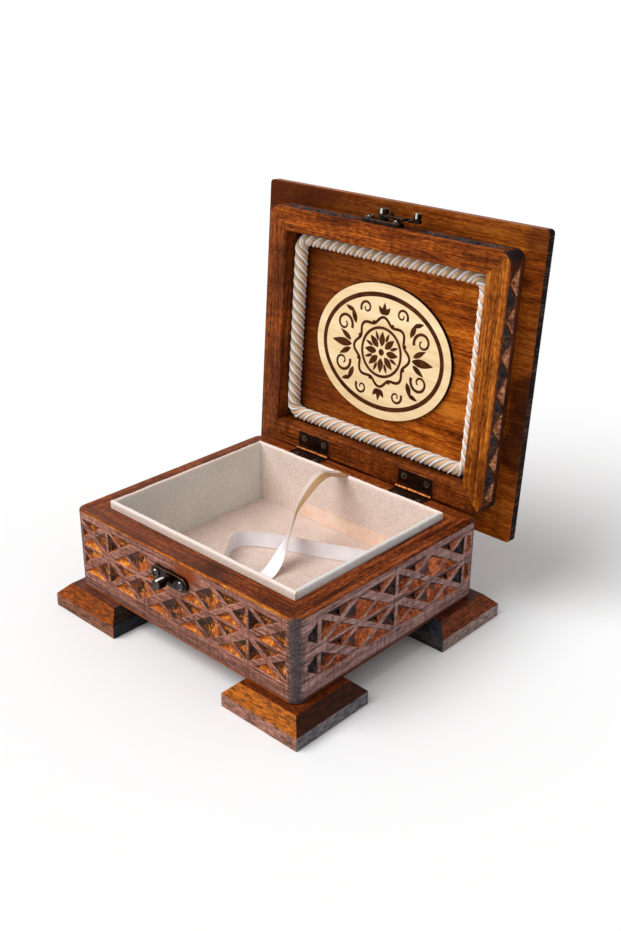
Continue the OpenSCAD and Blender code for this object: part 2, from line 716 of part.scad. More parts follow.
module plaque() {
    a = plaque_w / 2;
    b = plaque_h / 2;
    color("#e0bd8c") lid_pose() translate([plaque_x, plaque_y, board_z - plaque_t]) difference() {
        linear_extrude(plaque_t) oval(a, b);
        translate([0, 0, -cut]) linear_extrude(ring_depth + cut) difference() {
            oval(a - ring_margin, b - ring_margin);
            oval(a - ring_margin - ring_w, b - ring_margin - ring_w);
        }
    }
}

// Rope laid round the inside of the lid frame, against the board
module rope_trim() {
    inset = rope_d / 2 + rope_fit;
    half_w = open_w / 2 - inset;
    half_d = open_d / 2 - inset;
    color("#e6d3c2") lid_pose() translate([0, 0, board_z - inset]) {
        for (s = [-1, 1]) {
            translate([rope_bend - half_w, s * half_d, 0]) rotate([0, 90, 0])
                cylinder(d = rope_d, h = 2 * (half_w - rope_bend));
            translate([s * half_w, half_d - rope_bend, 0]) rotate([90, 0, 0])
                cylinder(d = rope_d, h = 2 * (half_d - rope_bend));
        }
        for (k = [0:3]) {
            x = k == 0 || k == 3 ? 1 : -1;
            y = k < 2 ? 1 : -1;
            translate([x * (half_w - rope_bend), y * (half_d - rope_bend), 0]) rotate(90 * k)
                rotate_extrude(angle = 90) translate([rope_bend, 0]) circle(d = rope_d);
        }
    }
}

front_wall();
back_wall();
side_wall(3);  // left_wall
side_wall(1);  // right_wall
bottom_panel();
foot(-1, -1);  // foot_front_left
foot(1, -1);  // foot_front_right
foot(-1, 1);  // foot_back_left
foot(1, 1);  // foot_back_right
liner_long(-1);  // liner_front
liner_long(1);  // liner_back
liner_short(-1);  // liner_left
liner_short(1);  // liner_right
liner_floor();
lifting_ribbon();
plate(stud_z);  // catch_plate
catch_stud();
plate_screw_pair(stud_z);  // catch_screws
lower_leaf(-1);  // lower_leaf_left
lower_leaf(1);  // lower_leaf_right
hinge_pin(-1);  // hinge_pin_left
hinge_pin(1);  // hinge_pin_right
color(bronze) leaf_screw_group(-1);  // lower_leaf_screws
lid_rail(0);  // lid_rail_front
lid_rail(2);  // lid_rail_back
lid_rail(3);  // lid_rail_left
lid_rail(1);  // lid_rail_right
lid_board();
plaque();
rope_trim();
upper_leaf(-1);  // upper_leaf_left
upper_leaf(1);  // upper_leaf_right
color(bronze) lid_pose() leaf_screw_group(1);  // upper_leaf_screws
lid_pose() plate(pivot_z);  // latch_plate
latch_pivot();
lid_pose() plate_screw_pair(pivot_z);  // latch_screws
latch_hook();
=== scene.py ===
"""Looks of the hinged book box: carved walls and lid, feet, velvet liner, ribbon, rope and hardware."""
import math
import random

import bmesh
import bpy
from mathutils import Matrix, Vector, noise
from mathutils.geometry import delaunay_2d_cdt


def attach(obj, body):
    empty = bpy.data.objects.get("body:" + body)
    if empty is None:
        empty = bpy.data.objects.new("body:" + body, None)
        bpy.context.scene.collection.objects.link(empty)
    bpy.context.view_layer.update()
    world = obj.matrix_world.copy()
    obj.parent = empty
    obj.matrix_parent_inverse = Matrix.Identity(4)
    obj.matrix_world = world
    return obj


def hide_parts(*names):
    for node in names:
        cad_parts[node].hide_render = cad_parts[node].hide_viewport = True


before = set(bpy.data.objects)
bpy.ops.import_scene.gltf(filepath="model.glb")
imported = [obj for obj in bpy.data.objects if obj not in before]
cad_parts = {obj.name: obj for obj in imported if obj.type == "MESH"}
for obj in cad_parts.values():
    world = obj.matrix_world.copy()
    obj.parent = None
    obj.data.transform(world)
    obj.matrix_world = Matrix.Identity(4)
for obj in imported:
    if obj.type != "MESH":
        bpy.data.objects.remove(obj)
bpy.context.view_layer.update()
scene = bpy.context.scene
scene.view_settings.view_transform = "Standard"

# Sizes of the box in millimetres, as in the solids
MM = 0.001
BOX_W, BOX_D, WALL_T, CORNER_R = 220.0, 188.0, 18.0, 8.0
FOOT_H, RIM_Z = 18.5, 81.0
FOOT_SIDE, FOOT_REACH, BEVEL_W, BEVEL_H = 67.5, 13.5, 8.5, 8.5
LID_Z, BOARD_Z, BOARD_T, BOARD_R = 82.0, 100.0, 8.0, 3.0
BOARD_LEFT, BOARD_RIGHT, BOARD_FRONT, BOARD_BACK = -128.5, 125.0, -109.0, 115.0
HINGE_Y, HINGE_Z, LID_OPEN = 94.0, 81.5, 94.0
LINER_W, LINER_D, LINER_T, LINER_LOW, LINER_TOP = 183.2, 151.2, 3.0, 30.5, 86.5
INNER_W, INNER_D, PAD_Z = 177.2, 145.2, 36.5
RIBBON_W, RIBBON_T, RIBBON_FIT = 12.5, 0.36, 0.3
PLAQUE_A, PLAQUE_B, PLAQUE_X, PLAQUE_Y, PLAQUE_LOW = 65.0, 52.0, -2.5, 2.0, 97.0
ROPE_D, ROPE_BEND, ROPE_FIT, ROPE_LAY = 11.0, 9.0, 0.1, 26.0
LATCH_X, PIVOT_Z, STUD_Z, FRONT_Y = -4.5, 89.5, 66.0, -94.0
PLATE_L, PLATE_H, PLATE_T, PLATE_SCREWS = 36.0, 11.0, 3.0, 25.0
HOOK_L, HOOK_FROM, HOOK_TO, HOOK_SLACK = 23.5, 5.0, 7.0, 0.5
HOOK_EYE_R, HOOK_HALF, HOOK_HEAD_R, NOTCH_R = 3.83, 2.25, 5.5, 2.5
HEAD_R, KNOB_R, KNOB_L, KNOB_AT, PLATE_HEAD_R, DOME_H = 4.0, 2.8, 5.0, 30.7, 3.5, 1.6
HINGE_X, HINGE_L, LEAF_W, LEAF_T, KNUCKLE_R, PIN_R = 51.0, 33.0, 15.0, 1.2, 2.6, 1.05
LEAF_INNER, LEAF_SCREWS, LEAF_SCREW_IN, LEAF_HEAD_R = 0.1, 21.0, 9.5, 2.6

about_hinge = Matrix.Translation(Vector((0, HINGE_Y, HINGE_Z)) * MM)
LID_POSE = about_hinge @ Matrix.Rotation(math.radians(-LID_OPEN), 4, "X") @ about_hinge.inverted()
REST = Matrix.Identity(4)

# Camera at the photograph's angle, in pixels, degrees and millimetres
PHOTO_W, FOCAL, SENSOR_W = 621, 1119.469, 36.0
AZIMUTH, ELEVATION, ROLL = 42.914, 24.752, 0.384
CAMERA_AT = 502.12, -503.84, 446.09


def add(name, data):
    """Adds an object to the scene."""
    made = bpy.data.objects.new(name, data)
    scene.collection.objects.link(made)
    return made


def place_camera():
    a, e, r = (math.radians(angle) for angle in (AZIMUTH, ELEVATION, ROLL))
    right = Vector((math.cos(a), math.sin(a), 0))
    back = Vector((math.sin(a) * math.cos(e), -math.cos(a) * math.cos(e), math.sin(e)))
    up = back.cross(right)
    turned = right * math.cos(r) + up * math.sin(r)
    up = up * math.cos(r) - right * math.sin(r)
    data = bpy.data.cameras.new("camera")
    data.sensor_fit = "HORIZONTAL"
    data.sensor_width = SENSOR_W
    data.lens = FOCAL * SENSOR_W / PHOTO_W
    data.clip_end = 100
    scene.camera = add("camera", data)
    axes = Matrix((turned, up, back)).transposed().to_4x4()
    scene.camera.matrix_world = Matrix.Translation(Vector(CAMERA_AT) * MM) @ axes


place_camera()


# Colours are written as screen values from 0 to 255
def colour(rgb):
    linear = [(c / 255 / 12.92) if c <= 10 else ((c / 255 + 0.055) / 1.055) ** 2.4 for c in rgb]
    return (*linear, 1.0)


def paint(shade):
    """Leaves a node's output as it is and turns a screen colour into a linear one."""
    return shade if isinstance(shade, bpy.types.NodeSocket) else colour(shade)


class Nodes:
    """Procedural nodes of a material or a world, in the piece's own space; each step gives an output."""

    def __init__(self, owner):
        owner.use_nodes = True
        self.tree = owner.node_tree

    def put(self, value, socket):
        if isinstance(value, bpy.types.NodeSocket):
            self.tree.links.new(value, socket)
        else:
            socket.default_value = value

    def node(self, kind, out, sockets, **values):
        """A new node with its settings, and outputs or plain values in its sockets."""
        made = self.tree.nodes.new(kind)
        for key, value in values.items():
            setattr(made, key, value)
        for key, value in sockets.items():
            self.put(value, made.inputs[key])
        return made.outputs[out]

    def where(self):
        return self.node("ShaderNodeTexCoord", "Object", {})

    def value(self, name):
        return self.node("ShaderNodeAttribute", "Fac", {}, attribute_name=name)

    def coordinate(self, axis):
        return self.node("ShaderNodeSeparateXYZ", axis, {0: self.where()})

    def math(self, what, a, b=0.0):
        return self.node("ShaderNodeMath", 0, {0: a, 1: b}, operation=what)

    def vector(self, what, a, b=(0, 0, 0)):
        out = "Value" if what in ("LENGTH", "DISTANCE") else "Vector"
        return self.node("ShaderNodeVectorMath", out, {0: a, 1: b}, operation=what)

    def sum(self, *terms):
        """Sum of outputs, each alone or with its weight."""
        parts = [self.math("MULTIPLY", *term) if isinstance(term, tuple) else term for term in terms]
        total = parts[0]
        for part in parts[1:]:
            total = self.math("ADD", total, part)
        return total

    def level(self, fac, low, high, start=0.0, end=1.0):
        """Runs from start to end while fac runs from low to high, and stays there beyond them."""
        return self.node("ShaderNodeMapRange", "Result",
                         {"Value": fac, "From Min": low, "From Max": high, "To Min": start, "To Max": end})

    def sway(self, fac, amount, spread=0.2):
        """A noise about its middle, as a change by an amount either way."""
        return self.level(fac, 0.5 - spread, 0.5 + spread, -amount, amount)

    def mix(self, fac, a, b):
        return self.node("ShaderNodeMix", 2, {0: fac, 6: paint(a), 7: paint(b)}, data_type="RGBA")

    def ramp(self, fac, *shades):
        """Even steps through screen colours."""
        made = self.tree.nodes.new("ShaderNodeValToRGB")
        points = made.color_ramp.elements
        while len(points) < len(shades):
            points.new(0.5)
        for k, (point, shade) in enumerate(zip(points, shades)):
            point.position = k / (len(shades) - 1)
            point.color = colour(shade)
        self.put(fac, made.inputs["Fac"])
        return made.outputs["Color"]

    def noise(self, fine, detail=4.0, rough=0.55, distort=0.0, turn=(0, 0, 0), move=(0, 0, 0)):
        """Noise with one fineness, or one for each axis."""
        scale = fine if isinstance(fine, (tuple, list)) else (fine, fine, fine)
        spot = self.node("ShaderNodeMapping", "Vector",
                         {"Vector": self.where(), "Location": move, "Rotation": turn, "Scale": scale})
        return self.node("ShaderNodeTexNoise", "Fac", {"Vector": spot, "Scale": 1.0, "Detail": detail,
                                                       "Roughness": rough, "Distortion": distort})

    def threads(self, x, y, distort):
        """Wavy lines across x."""
        spot = self.node("ShaderNodeCombineXYZ", 0, {0: x, 1: y})
        return self.node("ShaderNodeTexWave", "Fac", {"Vector": spot, "Scale": 1.0, "Distortion": distort},
                         wave_type="BANDS", bands_direction="X")

    def from_corner(self):
        """Distance on plan from the nearest sharp corner that the walls would have."""
        folded = self.vector("ABSOLUTE", self.where())
        apart = self.vector("SUBTRACT", folded, (BOX_W / 2 * MM, BOX_D / 2 * MM, 0))
        return self.vector("LENGTH", self.vector("MULTIPLY", apart, (1, 1, 0)))


class Shader(Nodes):
    """A principled material."""

    def __init__(self, name, **sockets):
        self.material = bpy.data.materials.new(name)
        super().__init__(self.material)
        self.out = self.tree.nodes["Principled BSDF"].inputs
        for socket, value in sockets.items():
            self.out[socket.replace("_", " ")].default_value = value

    def finish(self, base, height, strength, depth, rough=None):
        """Sets the colour, a bump of a strength and a depth in millimetres, and the roughness."""
        self.put(base, self.out["Base Color"])
        bump = {"Strength": strength, "Distance": depth * MM, "Height": height}
        self.put(self.node("ShaderNodeBump", "Normal", bump), self.out["Normal"])
        if rough is not None:
            self.put(rough, self.out["Roughness"])
        return self.material


def wood(name, tones, axis=0, gloss=0.45, shift=(0, 0, 0), streak=1.0, blotch=0.35, cross=(140, 22, 0.3),
         figured=0.3, spec=0.06, run=16, corner=None, fades=(), patches=()):
    """Stained wood with broad figure, fine grain lines, short flecks, marks across the grain and blotches.

    tones are its dark, middle and light colours; cross is the fineness of the marks along and across the
    grain and their strength; figured is the share of the broad figure; run is the fineness of the grain
    along its length; corner is the colour of the rounded upright corners. A fade has an axis, two places
    on it, the strength at the first and a colour, and a patch has a middle, an inner and an outer reach,
    a strength and a colour."""
    dark = tones[0]
    s = Shader(name, Specular_IOR_Level=spec)

    def grained(length, width, detail, rough=0.6, distort=0.0):
        fine = [width] * 3
        fine[axis] = length
        return s.noise(fine, detail, rough, distort, move=shift)

    figure = grained(8, 62, 5, distort=1.2)
    grain = grained(run, 620, 5, 0.7)
    fleck = grained(210, 900, 3)
    marks = grained(cross[0], cross[1], 3)
    stain = s.noise(30, move=shift)
    lines = s.sum((figure, figured), (grain, 0.7 - figured), (fleck, 0.3))
    base = s.ramp(s.level(lines, 0.5 - 0.12 / streak, 0.5 + 0.12 / streak), *tones)
    base = s.mix(s.level(marks, 0.5, 0.68, 0.0, cross[2]), base, dark)
    base = s.mix(s.level(stain, 0.46, 0.68, 0.0, blotch), base, dark)
    for k, first, last, amount, shade in fades:
        base = s.mix(s.level(s.coordinate(k), first * MM, last * MM, amount, 0.0), base, shade)
    for place, near, far, amount, shade in patches:
        apart = s.sum(s.vector("DISTANCE", s.where(), Vector(place) * MM), s.sway(stain, 0.35 * far * MM))
        base = s.mix(s.level(apart, near * MM, far * MM, amount, 0.0), base, shade)
    if corner:
        shade = s.mix(s.level(fleck, 0.35, 0.65, 0.35, 1.0), (0, 0, 0), corner)
        apart = s.sum(s.from_corner(), s.sway(grain, 1.4 * MM))
        base = s.mix(s.level(apart, 4.5 * MM, 8.2 * MM, 0.92, 0.0), base, shade)
    rough = s.level(grain, 0.3, 0.7, gloss - 0.08, gloss + 0.12)
    return s.finish(base, s.sum(grain, fleck), 0.4, 0.3, rough)


PALE_SPECKS = 150, 120, 100
# Golden colours of the painted highlight along the valleys of the cuts
VALLEY_HIGHLIGHT = (150, 70, 12), (230, 138, 36), (255, 206, 116)


def chip_wood(name, tones, shift, highlit_valleys=False):
    """Cut facets painted from shaded to lit, with chisel lines, pale specks and, when asked, a painted
    highlight along glossier valleys.
    """
    s = Shader(name, Specular_IOR_Level=0.15)
    chisel = s.noise((620, 620, 80), 5, 0.75, turn=(0.3, 0.25, 0), move=shift)
    patch = s.noise(150, 4, 0.6, move=shift)
    spots = s.noise(1100, 2)
    fine = s.noise(480, 4, 0.7, move=shift)
    ragged = s.sum(s.sway(chisel, 0.25), s.sway(patch, 0.3))
    base = s.ramp(s.sum(s.value("tone"), ragged, s.sway(fine, 0.2, 0.15)), *tones)
    base = s.mix(s.level(spots, 0.6, 0.72, 0.0, 0.45), base, PALE_SPECKS)
    rough = s.level(chisel, 0.3, 0.7, 0.35, 0.6)
    if highlit_valleys:
        # Painted highlight: golden and glossier along the deep valley of each cut
        valley_glint = s.level(s.sum(s.value("deep"), s.sway(chisel, 0.4), (ragged, 0.3)), 0.62, 0.76)
        base = s.mix(valley_glint, base, s.ramp(s.level(fine, 0.35, 0.65), *VALLEY_HIGHLIGHT))
        rough = s.math("SUBTRACT", rough, s.math("MULTIPLY", valley_glint, 0.25))
    return s.finish(base, s.sum(chisel, fine), 0.7, 0.6, rough)


# Points closer than this, in metres, become one, and edges sharper than this angle are softened
WELD, BEVEL_ANGLE = 0.00001, 28


class Build:
    """Points in millimetres and faces, with material numbers and the tone and depth of cut facets."""

    def __init__(self):
        self.points, self.faces, self.kinds, self.deep, self.tones = [], [], [], [], []

    def point(self, p, deep=0.0):
        self.points.append(Vector(p))
        self.deep.append(deep)
        return len(self.points) - 1

    def face(self, ids, kind=0, tone=0.5):
        self.faces.append(list(ids))
        self.kinds.append(kind)
        self.tones.append(tone)

    def grid(self, rows, kind=0, closed=False, looped=False, caps=None):
        """Quads between rows of points: closed joins a row's ends, looped joins the last row to the first.

        kind is their material, or a rule that may leave a quad out; caps are the materials of the faces
        that fill the first and the last row."""
        ids = [[self.point(p) for p in row] for row in rows]
        for i in range(len(ids) if looped else len(ids) - 1):
            a, b = ids[i], ids[(i + 1) % len(ids)]
            for k in range(len(a) if closed else len(a) - 1):
                n = (k + 1) % len(a)
                look = kind(k, i) if callable(kind) else kind
                if look is not None:
                    self.face((a[k], a[n], b[n], b[k]), look)
        for end, look in zip((0, -1), caps or ()):
            self.face(ids[end], look)
        return ids

    def make(self, name, looks, body, nodes, slot, pose=REST, smooth=None, bevel=None, **values):
        """Makes the faces into a piece that rides on a body and stands for its solids.

        smooth is the largest angle between faces that join smoothly; bevel is the width of the softened
        edges and their material; values are named lists with one number for each point."""
        mesh = bpy.data.meshes.new(name)
        mesh.from_pydata([p * MM for p in self.points], [], self.faces)
        mesh.polygons.foreach_set("material_index", self.kinds)
        if any(self.deep):
            values["deep"] = self.deep
            mesh.attributes.new("tone", "FLOAT", "FACE").data.foreach_set("value", self.tones)
        for key, numbers in values.items():
            mesh.attributes.new(key, "FLOAT", "POINT").data.foreach_set("value", numbers)
        work = bmesh.new()
        work.from_mesh(mesh)
        bmesh.ops.remove_doubles(work, verts=work.verts, dist=WELD)
        bmesh.ops.recalc_face_normals(work, faces=work.faces)
        work.to_mesh(mesh)
        work.free()
        piece = add(name, mesh)
        for look in looks:
            mesh.materials.append(look)
        if smooth is not None:
            mesh.shade_smooth()
            mesh.set_sharp_from_angle(angle=math.radians(smooth))
        piece.matrix_world = pose
        if bevel is not None:
            soften = piece.modifiers.new("bevel", "BEVEL")
            soften.width = bevel[0] * MM
            soften.material = bevel[1]
            soften.segments = 2
            soften.limit_method = "ANGLE"
            soften.angle_limit = math.radians(BEVEL_ANGLE)
            soften.harden_normals = True
        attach(piece, body)
        if nodes:
            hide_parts(*nodes)
        return piece


def arc(x, y, r, start, end, steps):
    """Points on an arc about x, y; angles are in degrees."""
    turns = [math.radians(start + (end - start) * i / steps) for i in range(steps + 1)]
    return [(x + r * math.cos(t), y + r * math.sin(t)) for t in turns]


def ellipse(a, b, count=96):
    return [(a * math.cos(math.tau * k / count), b * math.sin(math.tau * k / count)) for k in range(count)]


def polar(r, degrees):
    t = math.radians(degrees)
    return Vector((r * math.cos(t), r * math.sin(t)))


def slab(outline, low, high, kinds=(0, 0, 0), place=lambda *p: p, work=None):
    """Upright prism: kinds are the materials of its bottom, sides and top."""
    work = work or Build()
    bottom, sides, top = kinds
    rows = [[place(x, y, z) for x, y in outline] for z in (low, high)]
    work.grid(rows, sides, closed=True, caps=(bottom, top))
    return work


def lathe(work, profile, place, sides=24, kind=0, cap=0):
    """A round piece: profile holds radius and height from its foot to its top; cap is the top's material."""
    rows = [[place(x, y, h) for x, y in ellipse(r, r, sides)] for r, h in profile]
    work.grid(rows, kind, closed=True, caps=(0, cap))


# Carving: the same cells, triangles and diamonds as in the solids, on the plane u, v of a wall's face
ROW_LOW, ROW_HIGH = 31.0, 76.0
ROW_MID = (ROW_LOW + ROW_HIGH) / 2
BAND_WIDE, BAND_MID, BAND_THIN, ROW_BAND, UPRIGHT_BAND, ZIGZAG_BAND = 5.2, 3.4, 1.8, 1.5, 2.4, 2.0
FRONT_CELLS, FRONT_PLAIN, FRONT_FIELD_AT = 6, 3.8, -3.2
SIDE_CELLS, SIDE_PLAIN, SIDE_FIELD_AT, END_CHIP, END_POINT = 4, 18.25, 3.2, 11.0, 18.0
ZIGZAG_PITCH, ZIGZAG_LOW, ZIGZAG_HIGH = 25.5, 83.0, 95.5
WALL_DEPTH, RAIL_DEPTH = 4.5, 3.0

# A cut's lip, the valley at its bottom, the depth of small cuts and how far all keep from the corners
LIP_W, LIP_DEPTH, VALLEY_HALF, VALLEY_SHARE, VALLEY_FALL = 0.4, 0.22, 0.3, 0.2, 0.85
LEAST_DEPTH, FULL_DEPTH_R = 0.35, 6.0
FIELD_IN, POINT_IN, VALLEY_IN, MITRE_GAP = 0.4, 0.3, 1.5, 0.07
SLACK_U, SLACK_V, SLACK_TONE, SLACK_DEPTH = 0.35, 0.3, 0.06, (0.9, 1.08)

# Ends of the line at the bottom of a cut, as shares of the outline's points
POINTS_UP = (0.275, 0.275, 0.45), (0.125, 0.125, 0.75)
POINTS_DOWN = (0.136, 0.084, 0.78), (0.508, 0.312, 0.18)
DIAMOND = (0.0, 0.8, 0.0, 0.2), (0.0, 0.2, 0.0, 0.8)
LEFT_OF_BAR = (0.15, 0.30, 0.55), (0.68, 0.12, 0.20)
RIGHT_OF_BAR = (0.62, 0.20, 0.18), (0.20, 0.62, 0.18)

# Tones of the facets of each kind of chip: the darkest facet's, and the step to the lightest one's
FRONT_FACETS = {POINTS_UP: (0.56, 0.28), POINTS_DOWN: (0.14, 0.45), DIAMOND: (0.12, 0.45),
                LEFT_OF_BAR: (0.16, 0.42), RIGHT_OF_BAR: (0.12, 0.42)}
SIDE_FACETS = {POINTS_UP: (0.1, 0.62), POINTS_DOWN: (0.0, 0.6), DIAMOND: (-0.05, 0.8),
               LEFT_OF_BAR: (0.0, 0.16), RIGHT_OF_BAR: (0.12, 0.6)}
RAIL_FACETS = {POINTS_UP: (0.0, 0.3), POINTS_DOWN: (0.5, 0.28)}
DARK_FACETS = {POINTS_UP: (0.0, 0.2), POINTS_DOWN: (0.05, 0.2)}

# Where the painted light on the facets comes from, along u and v, and how much painted shade darkens the
# front towards its right
FRONT_LIGHT, SIDE_LIGHT, FRONT_DARKENS = Vector((-0.95, 0.3)), Vector((-0.6, 0.8)), 0.12

# Materials of a carved board; on the front and back walls the last one has a painted highlight along the
# chips' valleys
FLAT, WORN, CHIP, FACE, LIP, HIGHLIT_VALLEY = range(6)


def drawn_in(points, t):
    """An outline drawn in by t[i] from the side that starts at its point i."""
    points = [Vector(p) for p in points]
    drawn = []
    for i, p in enumerate(points):
        a = (p - points[i - 1]).normalized()
        b = (points[(i + 1) % len(points)] - p).normalized()
        q = p + t[i - 1] * Vector((-a.y, a.x))
        w = p + t[i] * Vector((-b.y, b.x))
        drawn.append(q + a * (w - q).cross(b) / a.cross(b))
    return drawn


def kept_within(points, low, high):
    """The part of an outline between u = low and u = high."""
    for sign, edge in ((1, high), (-1, -low)):
        kept = []
        for a, b in zip(points, points[1:] + points[:1]):
            x, y = edge - sign * a.x, edge - sign * b.x
            if x >= 0:
                kept.append(a)
            if x * y < 0:
                kept.append(a.lerp(b, x / (x - y)))
        points = kept
    return points


def cut(outline, shares):
    """A chip: its outline, the two ends of the line at the bottom of its cut, and its kind."""
    ends = [sum((p * k for p, k in zip(outline, share)), Vector((0, 0))) for share in shares]
    return outline, ends, shares


def half_bands(i, row, lean):
    """Half widths of a cell's rising and falling bands: even, or by turns broad and narrow."""
    if (i + row) % 2 == 0:
        return BAND_MID / 2, BAND_MID / 2
    return (BAND_WIDE / 2, BAND_THIN / 2) if lean > 0 else (BAND_THIN / 2, BAND_WIDE / 2)


def bar_chip(u, run, v0, v1, f):
    tip, t = (u + run, (v0 + v1) / 2), (f[0], f[1], UPRIGHT_BAND / 2)
    if run > 0:
        return cut(drawn_in(((u, v0), tip, (u, v1)), t), RIGHT_OF_BAR)
    return cut(drawn_in(((u, v1), tip, (u, v0)), t), LEFT_OF_BAR)


def row_chips(cells, pitch, at, v0, v1, row, lean, banded, end):
    half, mid = pitch / 2, (v0 + v1) / 2
    u = [at + (i - cells / 2) * pitch for i in range(cells + 1)]
    f = [half_bands(i, row, lean) for i in range(cells)]
    chips = []
    for i in range(cells):
        o, t = (u[i] + half, mid), (ROW_BAND / 2, f[i][1], f[i][0])
        chips.append(cut(drawn_in(((u[i], v0), (u[i + 1], v0), o), t), POINTS_UP))
        chips.append(cut(drawn_in(((u[i + 1], v1), (u[i], v1), o), t), POINTS_DOWN))
    for i in range(1, cells):
        if banded(i):
            chips += [bar_chip(u[i], half, v0, v1, f[i]), bar_chip(u[i], -half, v0, v1, f[i - 1])]
        else:
            outline = ((u[i] - half, mid), (u[i], v0), (u[i] + half, mid), (u[i], v1))
            chips.append(cut(drawn_in(outline, (f[i - 1][1], *f[i], f[i - 1][0])), DIAMOND))
    chips += [bar_chip(u[0], half, v0, v1, f[0]), bar_chip(u[-1], -half, v0, v1, f[-1])]
    if end:
        for place, sign in ((u[0], -1), (u[-1], 1)):
            outline, ends, kind = bar_chip(place, sign * END_POINT, v0, v1, (BAND_MID / 2, BAND_MID / 2))
            chips.append((kept_within(outline, place - end, place + end), ends, kind))
    return chips


def wall_chips(cells, field, at, lean, banded, end):
    chips = []
    for row, (v0, v1) in enumerate(((ROW_MID, ROW_HIGH), (ROW_LOW, ROW_MID))):
        chips += row_chips(cells, field / cells, at, v0, v1, row, lean, banded, end)
    return chips


def zigzag_chips(at, reach):
    n, half = math.ceil(2 * reach / ZIGZAG_PITCH), ZIGZAG_PITCH / 2
    t = (0.0, ZIGZAG_BAND / 2, ZIGZAG_BAND / 2)
    chips = []
    for i in range(2 * n - 1):
        u = at + (i - n) * half
        down = ((u + ZIGZAG_PITCH, ZIGZAG_HIGH), (u, ZIGZAG_HIGH), (u + half, ZIGZAG_LOW))
        up = ((u, ZIGZAG_LOW), (u + ZIGZAG_PITCH, ZIGZAG_LOW), (u + half, ZIGZAG_HIGH))
        chips.append(cut(drawn_in(up if i % 2 else down, t), POINTS_UP if i % 2 else POINTS_DOWN))
    return chips


def middle(points):
    return sum(points, Vector((0, 0))) / len(points)


def clear_of_catch(outline):
    o = middle(outline)
    return abs(o.x - LATCH_X) > (PLATE_L + PLATE_H) / 2 or o.y < STUD_Z - PLATE_H / 2


def facet_tone(a, b, c, tones, light):
    """How lit a cut facet looks: the more it faces the light, the brighter it is."""
    normal = (b - a).cross(c - a)
    if normal.y > 0:
        normal.negate()
    lean = Vector((normal.x, normal.z)).normalized()
    return tones[0] + tones[1] * (0.5 + 0.5 * lean.dot(light))


def carve(work, at, outline, ends, depth, kind, tones, light):
    """One chip: a narrow lip, sloping facets and a valley between its two ends."""
    o = middle(outline)
    count = len(outline)
    sides = list(zip(outline, outline[1:] + outline[:1]))
    area = abs(sum(a.x * b.y - b.x * a.y for a, b in sides)) / 2
    round_r = 2 * area / sum((a - b).length for a, b in sides)
    deepest = depth * min(1.0, LEAST_DEPTH + round_r / FULL_DEPTH_R)
    run = (ends[1] - ends[0]).normalized()
    side = Vector((run.y, -run.x)) * min(VALLEY_HALF, VALLEY_SHARE * round_r)
    valley = [ends[0] - side, ends[0] + side, ends[1] + side, ends[1] - side]
    falls = VALLEY_FALL * deepest, VALLEY_FALL * deepest, deepest, deepest
    inner = [o + (p - o) * (1 - LIP_W / round_r) for p in outline]
    edge_ids = [work.point(at(p.x, 0, p.y)) for p in outline]
    inner_at = [Vector((p.x, LIP_DEPTH, p.y)) for p in inner]
    inner_ids = [work.point(at(*p), 0.001) for p in inner_at]
    valley_at = [Vector((p.x, d, p.y)) for p, d in zip(valley, falls)]
    valley_ids = [work.point(at(*p), 1.0) for p in valley_at]
    nearest = [min(range(4), key=lambda j: (valley[j] - p).length) for p in inner]
    for k in range(count):
        n = (k + 1) % count
        run = outline[n] - outline[k]
        # Lips on one side take the darkest facet tone, a painted shadow under the band's edge
        lip = LIP if run.x + run.y > 0 else CHIP
        work.face((edge_ids[k], edge_ids[n], inner_ids[n], inner_ids[k]), lip, 0.0)
        i, j = nearest[k], nearest[n]
        tone = facet_tone(inner_at[k], inner_at[n], valley_at[j], tones, light)
        work.face((inner_ids[k], inner_ids[n], valley_ids[j]), kind, tone)
        while i != j:
            ahead = (i + 1) % 4
            tone = facet_tone(inner_at[k], valley_at[ahead], valley_at[i], tones, light)
            work.face((inner_ids[k], valley_ids[ahead], valley_ids[i]), kind, tone)
            i = ahead
    # The valley's floor takes the darkest tone, painted shade
    work.face(valley_ids, kind, tones[0])


